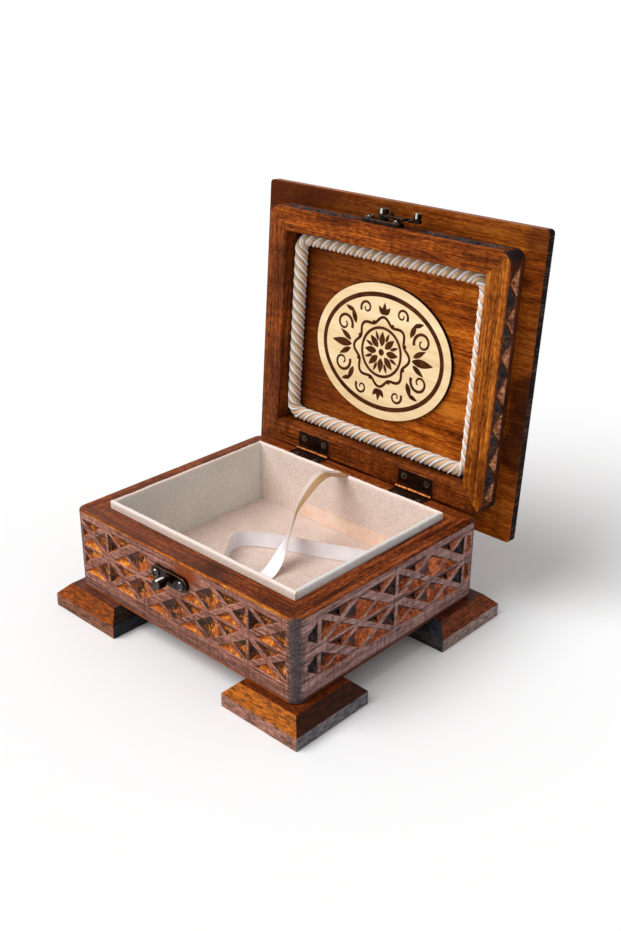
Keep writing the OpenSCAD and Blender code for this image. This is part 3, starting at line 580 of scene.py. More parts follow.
def carved_side(name, side, low, high, chips, facets, light, depth, edges, looks, *place):
    """One mitred board with rounded outer corners, softened edges and carved chips.

    side is 0 front, 1 right, 2 back, 3 left; facets holds the tones of each kind of chip; edges are the
    softening of the outer top, inner top, inner bottom and outer bottom edges; place is the piece's body,
    nodes, slot and pose. The slot is not used."""
    rng = random.Random(side * 17 + int(low))
    half, out = (BOX_W / 2, BOX_D / 2) if side % 2 == 0 else (BOX_D / 2, BOX_W / 2)
    turn = Matrix.Rotation(side * math.pi / 2, 3, "Z")
    work = Build()

    def at(u, d, v):
        return turn @ Vector((u, d - out, v))

    # Outline of the board's section, from the outer top edge inwards and round to the outer bottom edge
    profile, kinds = [], []
    corners = ((0, high, 180, WORN, FACE), (WALL_T, high, 90, FACE, FACE),
               (WALL_T, low, 0, FACE, FACE), (0, low, -90, WORN, FLAT))
    for (d, v, start, edge, after), r in zip(corners, edges):
        steps = 5 if r > 1.5 else 2
        profile += arc(abs(d - r), v + (r if v == low else -r), r, start, start - 90, steps)
        kinds += [edge] * steps + [after]

    def station(d, v, angle, sign):
        if d < CORNER_R:
            u = half - CORNER_R + (CORNER_R - d) * math.sin(angle)
            d = CORNER_R - (CORNER_R - d) * math.cos(angle)
        else:
            u = half - d - (1 - angle / (math.pi / 4))
        return at(sign * (u - MITRE_GAP * angle), d, v)

    angles = [math.radians(a) for a in (45, 36, 27, 18, 9, 0)]
    stations = [(a, -1) for a in angles] + [(a, 1) for a in reversed(angles)]
    rows = [[station(d, v, a, sign) for d, v in profile] for a, sign in stations]
    carved = len(profile) - 1, len(angles) - 1
    work.grid(rows, lambda k, i: None if (k, i) == carved else kinds[k], closed=True, caps=(FACE, FACE))

    # Carved flat between the rounded corners
    reach, v_low, v_high = half - CORNER_R, low + edges[3], high - edges[0]
    flat = [Vector(p) for p in ((-reach, v_low), (reach, v_low), (reach, v_high), (-reach, v_high))]
    border = [(0, 1), (1, 2), (2, 3), (3, 0)]

    def held(u, space):
        return max(min(u, reach - space), space - reach)

    loops = []
    for outline, ends, kind in chips:
        loop = []
        for p in kept_within(outline, FIELD_IN - reach, reach - FIELD_IN):
            loop.append(len(flat))
            q = p + Vector((rng.uniform(-SLACK_U, SLACK_U), rng.uniform(-SLACK_V, SLACK_V)))
            flat.append(Vector((held(q.x, POINT_IN), max(q.y, v_low + POINT_IN))))
        loops.append(loop)
    found, _, triangles, _, _, owners = delaunay_2d_cdt(flat, border, loops, 0, WELD)
    spots = [work.point(at(p.x, 0, p.y)) for p in found]
    for triangle, owner in zip(triangles, owners):
        if not owner:
            work.face([spots[k] for k in triangle], FLAT)
    for loop, (outline, ends, kind) in zip(loops, chips):
        ends = [Vector((held(e.x, VALLEY_IN), e.y)) for e in ends]
        darkest, step = facets[kind]
        darkest += rng.uniform(-SLACK_TONE, SLACK_TONE)
        # Painted shade: the front's chips darker towards its right
        if side == 0:
            darkest -= FRONT_DARKENS * middle(outline).x / half
        # Other chips take the last material, which on the front and back walls paints a highlight along their
        # valleys
        look = CHIP if kind in (POINTS_UP, RIGHT_OF_BAR) else HIGHLIT_VALLEY
        deep = depth * rng.uniform(*SLACK_DEPTH)
        carve(work, at, [flat[k] for k in loop], ends, deep, look, (darkest, step), light)
    return work.make(name, looks, *place)


# Wood tones: dark, middle and light
WALL_TONES = (78, 47, 39), (148, 97, 82), (184, 132, 114)
SIDE_WALL_TONES = (80, 58, 56), (154, 116, 111), (188, 152, 145)
RIM_TONES = (50, 18, 6), (114, 49, 17), (166, 88, 44)
BACK_RIM_TONES = (66, 26, 8), (132, 60, 20), (176, 94, 38)
LID_TONES = (62, 22, 3), (132, 59, 9), (190, 102, 28)
RIGHT_RAIL_TONES = (76, 32, 4), (154, 79, 17), (212, 130, 48)
BACK_RAIL_TONES = (52, 20, 6), (118, 54, 16), (166, 88, 32)
WORN_TONES = (116, 50, 10), (204, 108, 24), (252, 176, 66)
DULL_TONES = (50, 20, 10), (98, 44, 22), (146, 82, 50)
LIP_TONES = (104, 68, 56), (164, 114, 96), (208, 162, 140)
RAIL_SIDE_TONES = (36, 17, 10), (88, 44, 24), (136, 76, 42)
BOARD_TONES = (82, 32, 3), (160, 76, 15), (214, 124, 40)
EDGE_TONES = (8, 6, 6), (26, 18, 16), (84, 62, 52)
BOTTOM_TONES = (60, 34, 22), (104, 64, 42), (134, 90, 60)

# Tones of the cut facets, painted from shaded to lit; the bluish darkest tones also paint a reflection of the
# sky
FRONT_CHIPS = (36, 22, 15), (84, 46, 26), (134, 62, 20), (188, 96, 22), (240, 154, 52)
SIDE_CHIPS = (26, 25, 30), (60, 44, 42), (122, 56, 30), (178, 84, 40), (226, 132, 76)
RAIL_CHIPS = (30, 32, 40), (70, 52, 48), (136, 84, 58), (204, 136, 88), (248, 196, 146)
CORNER_GREY, CORNER_DARK = (86, 78, 80), (34, 31, 36)

# Fine marks across the walls' grain, darker towards the bottom with a band of painted shade along the lower
# edge, and the front wall's patch by the catch
HATCH = 560, 40, 0.75
LOW_SHADE, LOW_SHADE_TOP, BAND_EDGE = (92, 66, 62), 30, 0.6
FRONT_BAND, SIDE_BAND = (2.0, (140, 72, 26)), (3.4, (70, 30, 15))
# An orange-brown patch on the front beside the catch
CATCH_PATCH = ((LATCH_X + 15, FRONT_Y, 77), 6, 15, 0.9, (128, 58, 20))
WORN_FADE = (0, -110, 20, 0.8, DULL_TONES[1])
RIM_JOINT = (0, 41.8, 42.2, 0.35, (112, 66, 50))
BY_JOINT = ((28, FRONT_Y + 9, RIM_Z), 4, 18, 0.8, (54, 22, 11))

front_chips = wall_chips(FRONT_CELLS, BOX_W - 2 * FRONT_PLAIN, FRONT_FIELD_AT, 1, lambda i: i in (1, 5), 0)
side_chips = wall_chips(SIDE_CELLS, BOX_D - 2 * SIDE_PLAIN, SIDE_FIELD_AT, -1, lambda i: i % 2 == 0, END_CHIP)


def make_wall(side, name, axis, shift):
    is_front = side == 0
    chips = side_chips if axis else front_chips
    if is_front:
        chips = [c for c in chips if clear_of_catch(c[0])]
    tones = SIDE_CHIPS if axis else FRONT_CHIPS
    band, band_shade = SIDE_BAND if axis else FRONT_BAND
    # Darker towards the bottom, and a band of painted shade just above the rounded lower edge
    low_fades = ((2, FOOT_H, LOW_SHADE_TOP, 0.4, LOW_SHADE),
                 (2, FOOT_H + band, FOOT_H + band + BAND_EDGE, 0.85, band_shade))
    flat_tones = SIDE_WALL_TONES if axis else WALL_TONES
    looks = [wood(f"{name}_flat", flat_tones, axis, 0.55, shift, 1.3, 0.2, HATCH, 0.15, corner=CORNER_GREY,
                  fades=low_fades, patches=(CATCH_PATCH,) if is_front else ()),
             wood(f"{name}_worn", WORN_TONES if is_front else DULL_TONES, axis, 0.4, shift, 1.5, 0.6,
                  corner=CORNER_GREY, fades=(WORN_FADE,) if is_front else ()),
             chip_wood(f"{name}_chips", tones, shift),
             wood(f"{name}_rim", BACK_RIM_TONES if side == 2 else RIM_TONES, axis, 0.42, shift, 1.7,
                  fades=(RIM_JOINT,) if is_front else (), patches=(BY_JOINT,) if is_front else ()),
             wood(f"{name}_lip", LIP_TONES, axis, 0.5, shift, 1.2, 0.4),
             chip_wood(f"{name}_highlit_valley_chips", tones, shift, not axis)]
    carved_side(f"carved_{name}_wall", side, FOOT_H, RIM_Z, chips, SIDE_FACETS if axis else FRONT_FACETS,
                SIDE_LIGHT if axis else FRONT_LIGHT, WALL_DEPTH, (1.0, 0.6, 0.4, 1.6), looks,
                "box", [f"{name}_wall"], "wall_wood")


def make_rail(side, name, axis, shift):
    chips = zigzag_chips(SIDE_FIELD_AT if axis else 0.0, (BOX_D if axis else BOX_W) / 2 - CORNER_R)
    if side == 0:
        chips = [c for c in chips if abs(middle(c[0]).x - LATCH_X) > (PLATE_L + ZIGZAG_PITCH) / 2]
    face_tones = (LID_TONES, RIGHT_RAIL_TONES, BACK_RAIL_TONES, BACK_RAIL_TONES)[side]
    cut_look = chip_wood(f"{name}_rail_chips", RAIL_CHIPS, shift)
    looks = [wood(f"{name}_rail_flat", RAIL_SIDE_TONES, axis, 0.5, shift, 1.2, corner=CORNER_DARK),
             wood(f"{name}_rail_worn", LID_TONES, axis, 0.4, shift, 1.2, corner=CORNER_DARK),
             cut_look,
             wood(f"{name}_rail_face", face_tones, axis, 0.38, shift, 1.4, 0.5, (150, 24, 0.5)),
             wood(f"{name}_rail_lip", RAIL_SIDE_TONES, axis, 0.5, shift, 1.2),
             cut_look]
    carved_side(f"carved_{name}_rail", side, LID_Z, BOARD_Z, chips, RAIL_FACETS if axis else DARK_FACETS,
                FRONT_LIGHT, RAIL_DEPTH, (0.3, 0.3, 0.8, 0.9), looks,
                "lid", [f"lid_rail_{name}"], "lid_wood", LID_POSE)


for side, name in enumerate(("front", "right", "back", "left")):
    shift = (0.31 * side, 0.17 * side, 0.05 * side)
    make_wall(side, name, side % 2, shift)
    make_rail(side, name, side % 2, shift)

# Lid board: its inside darker towards the left, right and front edges, with painted shadow on its right
# overhang, and its front edge, which follows three corners of seven points each
BOARD_DARK, BOARD_SHADE = (66, 26, 8), (44, 18, 7)
BOARD_FADES = ((0, -85, 30, 0.8, BOARD_DARK), (0, 112, 106, 0.55, BOARD_DARK), (1, -96, -91, 0.5, BOARD_DARK))
# Patches of painted shadow on the board's right overhang
BOARD_PATCHES = [((130, y, BOARD_Z), 17, 23, 0.75, BOARD_SHADE) for y in (4, 22, 40)]
CORNER_STEPS, BOARD_FRONT_SIDE = 6, 20


def make_board():
    x0, x1 = BOARD_LEFT + BOARD_R, BOARD_RIGHT - BOARD_R
    y0, y1 = BOARD_FRONT + BOARD_R, BOARD_BACK - BOARD_R
    outline = []
    for k, (x, y) in enumerate(((x1, y1), (x0, y1), (x0, y0), (x1, y0))):
        outline += arc(x, y, BOARD_R, 90 * k, 90 * k + 90, CORNER_STEPS)
    looks = [wood("board_inside", BOARD_TONES, 0, 0.36, (0.9, 0.2, 0.4), 1.3, 0.4, (60, 30, 0.15), 0.4, 0.03,
                  fades=BOARD_FADES, patches=BOARD_PATCHES),
             wood("board_edge", EDGE_TONES, 2, 0.6, (0.3, 0.1, 0.2), 1.4, 0.2, spec=0.02),
             wood("board_outside", LID_TONES, 0, 0.4, (0.2, 0.6, 0.1), 1.2)]
    kinds = 0, lambda k, i: 2 if k == BOARD_FRONT_SIDE else 1, 2
    slab(outline, BOARD_Z, BOARD_Z + BOARD_T, kinds).make(
        "lid_panel", looks, "lid", ["lid_board"], "lid_wood", LID_POSE, bevel=(0.8, 0))


make_board()

# Bottom panel keeps its solid
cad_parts["bottom_panel"].data.materials.clear()
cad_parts["bottom_panel"].data.materials.append(wood("bottom_wood", BOTTOM_TONES, 0, 0.6))

# Colours of a foot's front bevel, right bevel, front face, right face and top, which paint the light and
# shade on each face, and of its unseen sides
DARK_FOOT = (134, 64, 15), (42, 33, 29), (124, 78, 58), (44, 45, 50), (110, 62, 48)
FRONT_FOOT = (160, 86, 22), (54, 26, 15), (146, 102, 86), (104, 98, 102), (104, 46, 18)
BACK_FOOT = (50, 52, 60), (112, 56, 30), (64, 62, 58), (140, 118, 112), (88, 42, 25)
FOOT_UNSEEN = (132, 66, 24), (118, 74, 56)
FOOT_SPREAD = 0.42


def around(tone):
    """Dark, middle and light tones about one colour."""
    darker = [c * (1 - FOOT_SPREAD) for c in tone]
    lighter = [min(255, c * (1 + 0.6 * FOOT_SPREAD)) for c in tone]
    return darker, tone, lighter


def make_foot(name, sx, sy, tones):
    """A square block with a bevel round its top."""
    cx = sx * (BOX_W / 2 + FOOT_REACH - FOOT_SIDE / 2)
    cy = sy * (BOX_D / 2 + FOOT_REACH - FOOT_SIDE / 2)
    corners = (-1, -1), (1, -1), (1, 1), (-1, 1)
    levels = (FOOT_SIDE / 2, 0), (FOOT_SIDE / 2, FOOT_H - BEVEL_H), (FOOT_SIDE / 2 - BEVEL_W, FOOT_H)
    rows = [[(cx + a * h, cy + b * h, z) for a, b in corners] for h, z in levels]
    faces, bevels = (2, 3, 6, 6), (0, 1, 5, 5)
    work = Build()
    work.grid(rows, lambda k, level: (faces, bevels)[level][k], closed=True, caps=(2, 4))
    shift = (0.4 * sx, 0.7 * sy, 0.2)
    looks = [wood(f"{name}_{k}", around(tone), k % 2, 0.42, shift, 1.4, 0.4, (420, 60, 0.25), 0.05, run=160)
             for k, tone in enumerate(tones + FOOT_UNSEEN)]
    work.make("bevelled_" + name, looks, "box", [name], "foot_wood", bevel=(0.5, -1))


make_foot("foot_front_left", -1, -1, DARK_FOOT)
make_foot("foot_front_right", 1, -1, FRONT_FOOT)
make_foot("foot_back_left", -1, 1, DARK_FOOT)
make_foot("foot_back_right", 1, 1, BACK_FOOT)


# Velvet liner
def velvet(name, dark, light, edge):
    """Short pile, paler along the top edge as a painted sheen."""
    s = Shader(name, Roughness=0.95, Sheen_Weight=0.5, Sheen_Roughness=0.4, Specular_IOR_Level=0.1)
    pile = s.noise(900, 3, 0.7)
    nap = s.noise(40, 4, 0.6)
    base = s.ramp(s.level(s.sum((pile, 0.8), (nap, 0.2)), 0.36, 0.62), dark, light)
    # Painted sheen: paler towards the top edge
    base = s.mix(s.level(s.coordinate(2), (LINER_TOP - 2.5) * MM, (LINER_TOP - 1) * MM, 0.0, 0.8), base, edge)
    return s.finish(base, pile, 0.8, 0.8)


VELVET = velvet("liner_velvet", (206, 180, 165), (240, 220, 208), (250, 234, 224))
LIT = velvet("liner_velvet_lit", (218, 195, 181), (247, 230, 219), (250, 234, 224))
SHADED = velvet("liner_velvet_shaded", (212, 214, 209), (244, 247, 243), (246, 226, 212))
COOL = velvet("liner_velvet_cool", (214, 214, 210), (242, 243, 240), (236, 234, 230))

# Steps of the liner's meshes, its boards' fit and rounded tops, and the rise of the pad's edges
LINER_STEP, LINER_STEPS, TOP_STEPS, LINER_FIT, TOP_FLAT = 2.5, 20, 8, 0.05, 0.97
PAD_NX, PAD_NY, PAD_FIT, PAD_RISE, PAD_RISE_W = 70, 58, 0.2, 0.5, 1.2

# The noise takes its offsets from this seed, so that every run gives the same velvet
VELVET_SEED = 4
noise.seed_set(VELVET_SEED)


def fuzz(p, amount, size):
    """A small steady displacement of a point, different at every place."""
    return noise.noise_vector(Vector(p) / size) * amount


def liner_wall(name, node, ends, across, look=VELVET):
    """A velvet-covered board with a rounded top, from one end to the other; across points into the box."""
    a, b = Vector((*ends[0], 0)), Vector((*ends[1], 0))
    across = Vector((*across, 0))
    run = b - a
    count = int(run.length / LINER_STEP)
    r = LINER_T / 2 - LINER_FIT
    heights = [LINER_LOW + (LINER_TOP - r - LINER_LOW) * k / LINER_STEPS for k in range(LINER_STEPS)]
    turns = [math.pi * k / TOP_STEPS for k in range(TOP_STEPS + 1)]
    section = [(-r, z) for z in heights]
    section += [(-r * math.cos(t), LINER_TOP - r + r * math.sin(t) * TOP_FLAT) for t in turns]
    section += [(r, z) for z in reversed(heights)]
    rows = []
    for i in range(count + 1):
        row = []
        for d, z in section:
            q = a + run * (i / count) + across * d + Vector((0, 0, z))
            lift = max(0.0, min(1.0, (z - RIM_Z) / 4))
            row.append(q + fuzz(q, 0.16 + 0.12 * lift, 2.2) + fuzz(q, 0.2, 17.0))
        rows.append(row)
    work = Build()
    work.grid(rows, closed=True, caps=(0, 0))
    work.make(name, [look], "box", [node], "velvet", smooth=60)


long_y, short_x, end_x, end_y = (LINER_D - LINER_T) / 2, (LINER_W - LINER_T) / 2, LINER_W / 2, INNER_D / 2
liner_wall("velvet_front", "liner_front", ((-end_x, -long_y), (end_x, -long_y)), (0, 1))
liner_wall("velvet_back", "liner_back", ((-end_x, long_y), (end_x, long_y)), (0, -1), LIT)
liner_wall("velvet_left", "liner_left", ((-short_x, -end_y), (-short_x, end_y)), (1, 0), SHADED)
liner_wall("velvet_right", "liner_right", ((short_x, -end_y), (short_x, end_y)), (-1, 0), COOL)


def liner_pad():
    """Thin padded floor whose edges rise a little against the liner walls."""
    work = Build()
    rows = []
    for j in range(PAD_NY + 1):
        row = []
        for i in range(PAD_NX + 1):
            x = (i / PAD_NX - 0.5) * (INNER_W - PAD_FIT)
            y = (j / PAD_NY - 0.5) * (INNER_D - PAD_FIT)
            edge = min(INNER_W / 2 - abs(x), INNER_D / 2 - abs(y))
            q = Vector((x, y, PAD_Z + PAD_RISE * math.exp(-edge / PAD_RISE_W)))
            row.append(q + Vector((0, 0, fuzz(q, 0.15, 2.4).z + fuzz(q, 0.2, 22.0).z - 0.15)))
        rows.append(row)
    ids = work.grid(rows)
    rim = ids[0] + [r[-1] for r in ids[1:]] + ids[-1][-2::-1] + [r[0] for r in ids[-2:0:-1]]
    base = [work.point((*work.points[k].xy, LINER_LOW)) for k in rim]
    for k in range(len(rim)):
        n = (k + 1) % len(rim)
        work.face((rim[k], rim[n], base[n], base[k]))
    work.face(base)
    pad = work.make("velvet_floor", [VELVET], "box", ["liner_floor"], "velvet", smooth=60)


liner_pad()

# Satin ribbon: percent of half the liner's inside, lift in percent of its depth, width's direction and tilt
RIBBON_ROUTE = (
    (-2, 102, 100, 0, 0), (-3, 95, 101, -10, 0), (-3, 87, 105, -14, 0), (-3, 76, 111, -14, 0),
    (-3, 65, 108, -14, 2), (-3, 54, 98, -16, 9), (-3, 43, 85, -24, 12), (-3, 34, 69, -36, 18),
    (-1, 25, 49, -40, 24), (0, 18, 35, -37, 24), (1, 10, 25, -26, 10), (3, 0, 14, -10, 5),
    (4, -11, 4, -3, 2), (5, -21, 0, 0, 2), (6, -32, 0, -4, 12), (5, -43, 0, -14, 35),
    (2, -53, 0, -40, 62), (-5, -59, 0, -75, 80), (-14, -58, 0, -110, 88), (-22, -48, 0, -129, 90),
    (-31, -35, 0, -129, 90), (-41, -19, 0, -135, 90), (-47, -7, 0, -165, 90), (-47, 3, 0, -195, 90),
    (-41, 12, 0, -220, 90), (-31, 20, 0, -230, 90), (-17, 29, 0, -240, 90), (0, 37, 0, -245, 90),
    (18, 46, 0, -245, 90), (36, 56, 0, -245, 90), (54, 65, 0, -245, 90), (70, 72, 0, -240, 90),
    (79, 81, 0, -220, 90), (81, 90, 0, -170, 90), (75, 97, 0, -120, 90), (62, 99, 0, -95, 90),
    (46, 100, 0, -90, 90), (29, 100, 0, -90, 90), (10, 100, 0, -90, 90), (-10, 100, 0, -90, 90),
    (-30, 100, 0, -90, 90), (-49, 100, 0, -90, 90))
ROUTE_STEPS, RIBBON_STEPS, HEM_FROM, HEM_THICKER = 6, 8, 0.8, 1.25
# Painted shade on the ribbon's arch, and gold as painted shade and reflection of the wood on one side of it
ARCH_SHADE, ARCH_GOLD = (212, 186, 174), (164, 121, 70)


def smooth_points(points, steps):
    """Smooth curve through control points of any dimension."""
    last = len(points) - 1
    line = []
    for i in range(last):
        a, b, c, d = (points[max(0, min(last, i + k))] for k in (-1, 0, 1, 2))
        for k in range(steps):
            t = k / steps
            line.append([0.5 * (2 * q + (r - p) * t + (2 * p - 5 * q + 4 * r - s) * t * t
                                + (3 * q - p - 3 * r + s) * t ** 3) for p, q, r, s in zip(a, b, c, d)])
    return line + [list(points[last])]


def satin(name, dark, light, gloss):
    """Woven satin with stitched edges; where it arches to the floor it has painted shade, and on one side
    gold as painted shade and reflection of the wood.
    """
    s = Shader(name, Sheen_Weight=0.3, Sheen_Roughness=0.3, Anisotropic=0.5, Specular_IOR_Level=0.4)
    across, run = s.value("across"), s.value("run")
    weave = s.threads(s.math("MULTIPLY", run, 420.0), s.math("MULTIPLY", across, 9.0), 1.5)
    edge = s.level(s.math("ABSOLUTE", across), 0.86, 0.9)
    stitch = s.math("MULTIPLY", edge, weave)
    soft = s.noise(90, 3)
    base = s.mix(s.level(soft, 0.35, 0.65), dark, light)
    base = s.mix(s.math("MULTIPLY", stitch, 0.55), base, dark)
    arch = s.level(run, 0.06, 0.09, 1.0, 0.0)
    gold_shade_and_reflection = s.math("MULTIPLY", arch, s.level(across, -0.35, 0.0, 0.0, 0.95))
    base = s.mix(s.math("MULTIPLY", arch, 0.85), base, ARCH_SHADE)
    base = s.mix(gold_shade_and_reflection, base, ARCH_GOLD)
    return s.finish(base, s.sum((weave, 0.3), edge), 0.25, 0.2, s.level(soft, 0.3, 0.7, gloss, gloss + 0.12))


def ribbon_line():
    """Places along the ribbon's middle and its half width there, kept inside the liner."""
    skin = RIBBON_FIT + RIBBON_T / 2
    line = []
    for x, y, lift, turn, tilt in smooth_points(RIBBON_ROUTE, ROUTE_STEPS):
        flat = polar(math.cos(math.radians(tilt)), turn)
        w = Vector((*flat, math.sin(math.radians(tilt)))) * RIBBON_W / 2
        px, py = x / 100 * INNER_W / 2, y / 100 * INNER_D / 2
        if lift <= 0:
            side, end = INNER_W / 2 - abs(w.x) - skin, INNER_D / 2 - abs(w.y) - skin
            px, py = max(-side, min(side, px)), max(-end, min(end, py))
        z = PAD_Z + abs(w.z) + skin + lift / 100 * (LINER_TOP - PAD_Z)
        line.append((Vector((px, py, z)), w))
    return line


def make_ribbon():
    line = ribbon_line()
    rows, across_values, run_values = [], [], []
    run_length = 0.0
    for i, (o, w) in enumerate(line):
        before, after = line[max(i - 1, 0)][0], line[min(i + 1, len(line) - 1)][0]
        normal = (after - before).cross(w).normalized()
        run_length += (o - before).length
        row = []
        for face_side in (1, -1):
            for k in range(RIBBON_STEPS + 1):
                s = (2 * k / RIBBON_STEPS - 1) * face_side
                thick = RIBBON_T / 2 * (1.0 if abs(s) < HEM_FROM else HEM_THICKER)
                row.append(o + w * s + normal * thick * face_side)
                across_values.append(s)
                run_values.append(run_length * MM)
        rows.append(row)
    work = Build()
    work.grid(rows, lambda k, i: int(k >= RIBBON_STEPS), closed=True, caps=(0, 0))
    looks = [satin("satin_face", (238, 238, 245), (252, 252, 255), 0.32),
             satin("satin_back", (238, 204, 182), (252, 224, 204), 0.5)]
    piece = work.make("satin_ribbon", looks, "box", ["lifting_ribbon"], "ribbon", smooth=50,
                      across=across_values, run=run_values)


make_ribbon()


# Oval plaque with a dark ring and a rosette between leaf scrolls
def pale_wood():
    s = Shader("plaque_face", Roughness=0.55, Specular_IOR_Level=0.25)
    figure = s.noise((14, 140, 140), 5, 0.6)
    flecks = s.noise((90, 900, 900), 3, 0.6)
    base = s.ramp(s.level(figure, 0.3, 0.7), (230, 196, 144), (252, 226, 182))
    base = s.mix(s.level(flecks, 0.6, 0.78, 0.0, 0.5), base, (196, 150, 100))
    return s.finish(base, flecks, 0.15, 0.2)


def burnt(name, dark, light):
    s = Shader(name, Roughness=0.7, Specular_IOR_Level=0.05)
    tone = s.noise(160)
    return s.finish(s.ramp(s.level(tone, 0.3, 0.7), dark, light), tone, 0.3, 0.3)


def on_plaque(x, y, z):
    return PLAQUE_X + x, PLAQUE_Y + y, z


PALE, BURNT = pale_wood(), burnt("plaque_burnt", (46, 21, 10), (94, 48, 22))
CHARRED = burnt("plaque_edge", (10, 8, 8), (34, 24, 20))
slab(ellipse(PLAQUE_A, PLAQUE_B), PLAQUE_LOW, BOARD_Z - 0.02, (0, 1, 1), on_plaque).make(
    "oval_plaque", [PALE, CHARRED], "lid", ["plaque"], "plaque_wood", LID_POSE, bevel=(0.35, 1))

# Ornament: its inlay, its ring, its rosette of leaves, beads and hoops, and the leaves and scrolls round it
INLAY_LOW, INLAY_HIGH = PLAQUE_LOW - 0.09, PLAQUE_LOW + 0.2
RING_A, RING_B, RING_W = 56.4, 43.2, 3.5
PETALS, PETAL_AT, PETAL_L, PETAL_W = 8, 4.6, 11.5, 5.4
SEPAL_AT, SEPAL_L, SEPAL_W = 9.0, 8.0, 2.6
EYE_R, BEAD_AT, BEAD_R = 2.6, 23.4, 1.5
HOOP_R, HOOP_W, LOBES_R, LOBES_RISE, LOBE_POINTS = 18.6, 2.2, 24.6, 2.2, 128
LEAF_STEPS, SCROLL_STEPS, SCROLL_COILS, SCROLL_TAPER = 10, 36, 0.8, 0.45
# A leaf has a start, angle, length and width; a scroll has a middle, radius, start, sweep and width
QUARTER_LEAVES = (30, 3, 32, 13, 4.2), (26, 17, 68, 13, 4.4), (29, 26, 20, 9, 3.4)
QUARTER_SCROLLS = (37.5, 15, 8.2, 200, -430, 2.6), (17, 31, 5.6, 330, 420, 2.2)
SIDE_LEAF_AT, SIDE_LEAF_L, SIDE_LEAF_W = 29, 20, 6.4
TIP_LEAF_AT, TIP_LEAF_W, TIP_LEAVES = 28.5, 3.8, ((0, 9.5), (38, 8), (-38, 8))
TIP_FAN = 60


def inlay(work, outline):
    slab(outline, INLAY_LOW, INLAY_HIGH, place=on_plaque, work=work)


def stroke(work, points, width, end_width=None, closed=False):
    """A flat inlaid line on the plaque's face, which may taper to its end."""
    points = [Vector(p) for p in points]
    count = len(points)
    rows = []
    for i, p in enumerate(points):
        before = points[(i - 1) % count] if closed or i else p
        after = points[(i + 1) % count] if closed or i < count - 1 else p
        run = (after - before).normalized()
        wide = width if end_width is None else width + (end_width - width) * i / (count - 1)
        side = Vector((-run.y, run.x)) * wide / 2
        left, right = p + side, p - side
        corners = (left, INLAY_LOW), (right, INLAY_LOW), (right, INLAY_HIGH), (left, INLAY_HIGH)
        rows.append([on_plaque(q.x, q.y, z) for q, z in corners])
    work.grid(rows, closed=True, looped=closed, caps=None if closed else (0, 0))


def leaf(work, start, angle, length, width):
    """A filled almond-shaped leaf from a point, in a direction."""
    run = polar(1, angle)
    side = Vector((-run.y, run.x))
    shares = [i / LEAF_STEPS for i in range(LEAF_STEPS + 1)]
    edge = [(t, math.sin(math.pi * t ** 0.8) * width / 2) for t in shares]
    outline = [Vector(start) + run * length * t + side * w for t, w in edge]
    outline += [Vector(start) + run * length * t - side * w for t, w in reversed(edge[1:-1])]
    inlay(work, outline)


def scroll(work, sx, sy, x, y, radius, start, sweep, width):
    """A tapering spiral, mirrored by sx and sy."""
    line = []
    for i in range(SCROLL_STEPS + 1):
        t = i / SCROLL_STEPS
        p = Vector((x, y)) + polar(radius * (1 - SCROLL_COILS * t), start + sweep * t)
        line.append((sx * p.x, sy * p.y))
    stroke(work, line, width, SCROLL_TAPER * width)


def make_ornament():
    work = Build()
    stroke(work, ellipse(RING_A, RING_B), RING_W, closed=True)
    step = 360 / PETALS
    for k in range(PETALS):
        between = step * (k + 0.5)
        leaf(work, polar(PETAL_AT, step * k), step * k, PETAL_L, PETAL_W)
        leaf(work, polar(SEPAL_AT, between), between, SEPAL_L, SEPAL_W)
        inlay(work, [polar(BEAD_AT, between) + Vector(p) for p in ellipse(BEAD_R, BEAD_R, 12)])
    inlay(work, ellipse(EYE_R, EYE_R, 16))
    stroke(work, ellipse(HOOP_R, HOOP_R), HOOP_W, closed=True)
    turns = [360 * k / LOBE_POINTS for k in range(LOBE_POINTS)]
    lobes = [polar(LOBES_R + LOBES_RISE * math.cos(math.radians(PETALS * t)), t) for t in turns]
    stroke(work, lobes, HOOP_W, closed=True)
    for sx in (-1, 1):
        face_out = 0 if sx > 0 else 180
        leaf(work, (sx * SIDE_LEAF_AT, 0), face_out, SIDE_LEAF_L, SIDE_LEAF_W)
        for sy in (-1, 1):
            for x, y, angle, length, width in QUARTER_LEAVES:
                leaf(work, (sx * x, sy * y), face_out + sx * sy * angle, length, width)
            for shape in QUARTER_SCROLLS:
                scroll(work, sx, sy, *shape)
    for sy in (-1, 1):
        for spread, length in TIP_LEAVES:
            leaf(work, (-sy * spread / TIP_FAN, sy * TIP_LEAF_AT), sy * 90 + spread, length, TIP_LEAF_W)
    work.make("plaque_ornament", [BURNT], "lid", (), "plaque_wood", LID_POSE)


make_ornament()

# Twisted rope round the inside of the lid frame: strands and cords by offset, radius and sides
ROPE_STEP, ROPE_PLY = 1.1, 3
STRAND, CORD = (2.6, 2.5, 12), (4.0, 1.4, 10)


def rope_route():
    """Even points round the rope's middle line with their outward directions, and the line's length."""
    inset = WALL_T + ROPE_D / 2 + ROPE_FIT + ROPE_BEND
    w, d = BOX_W - 2 * inset, BOX_D - 2 * inset
    bend = ROPE_BEND * math.pi / 2
    total = 4 * bend + 2 * w + 2 * d
    count = round(total / ROPE_STEP)
    line = []
    for i in range(count):
        left, k = total * i / count, 0
        while left >= bend + (w, d)[k % 2]:
            left -= bend + (w, d)[k % 2]
            k += 1
        sx, sy = ((1, 1), (-1, 1), (-1, -1), (1, -1))[k]
        out = polar(1, 90 * k + math.degrees(min(left, bend) / ROPE_BEND))
        ahead = Vector((-out.y, out.x)) * max(0.0, left - bend)
        line.append((Vector((sx * w / 2, sy * d / 2)) + out * ROPE_BEND + ahead, out))
    return line, total


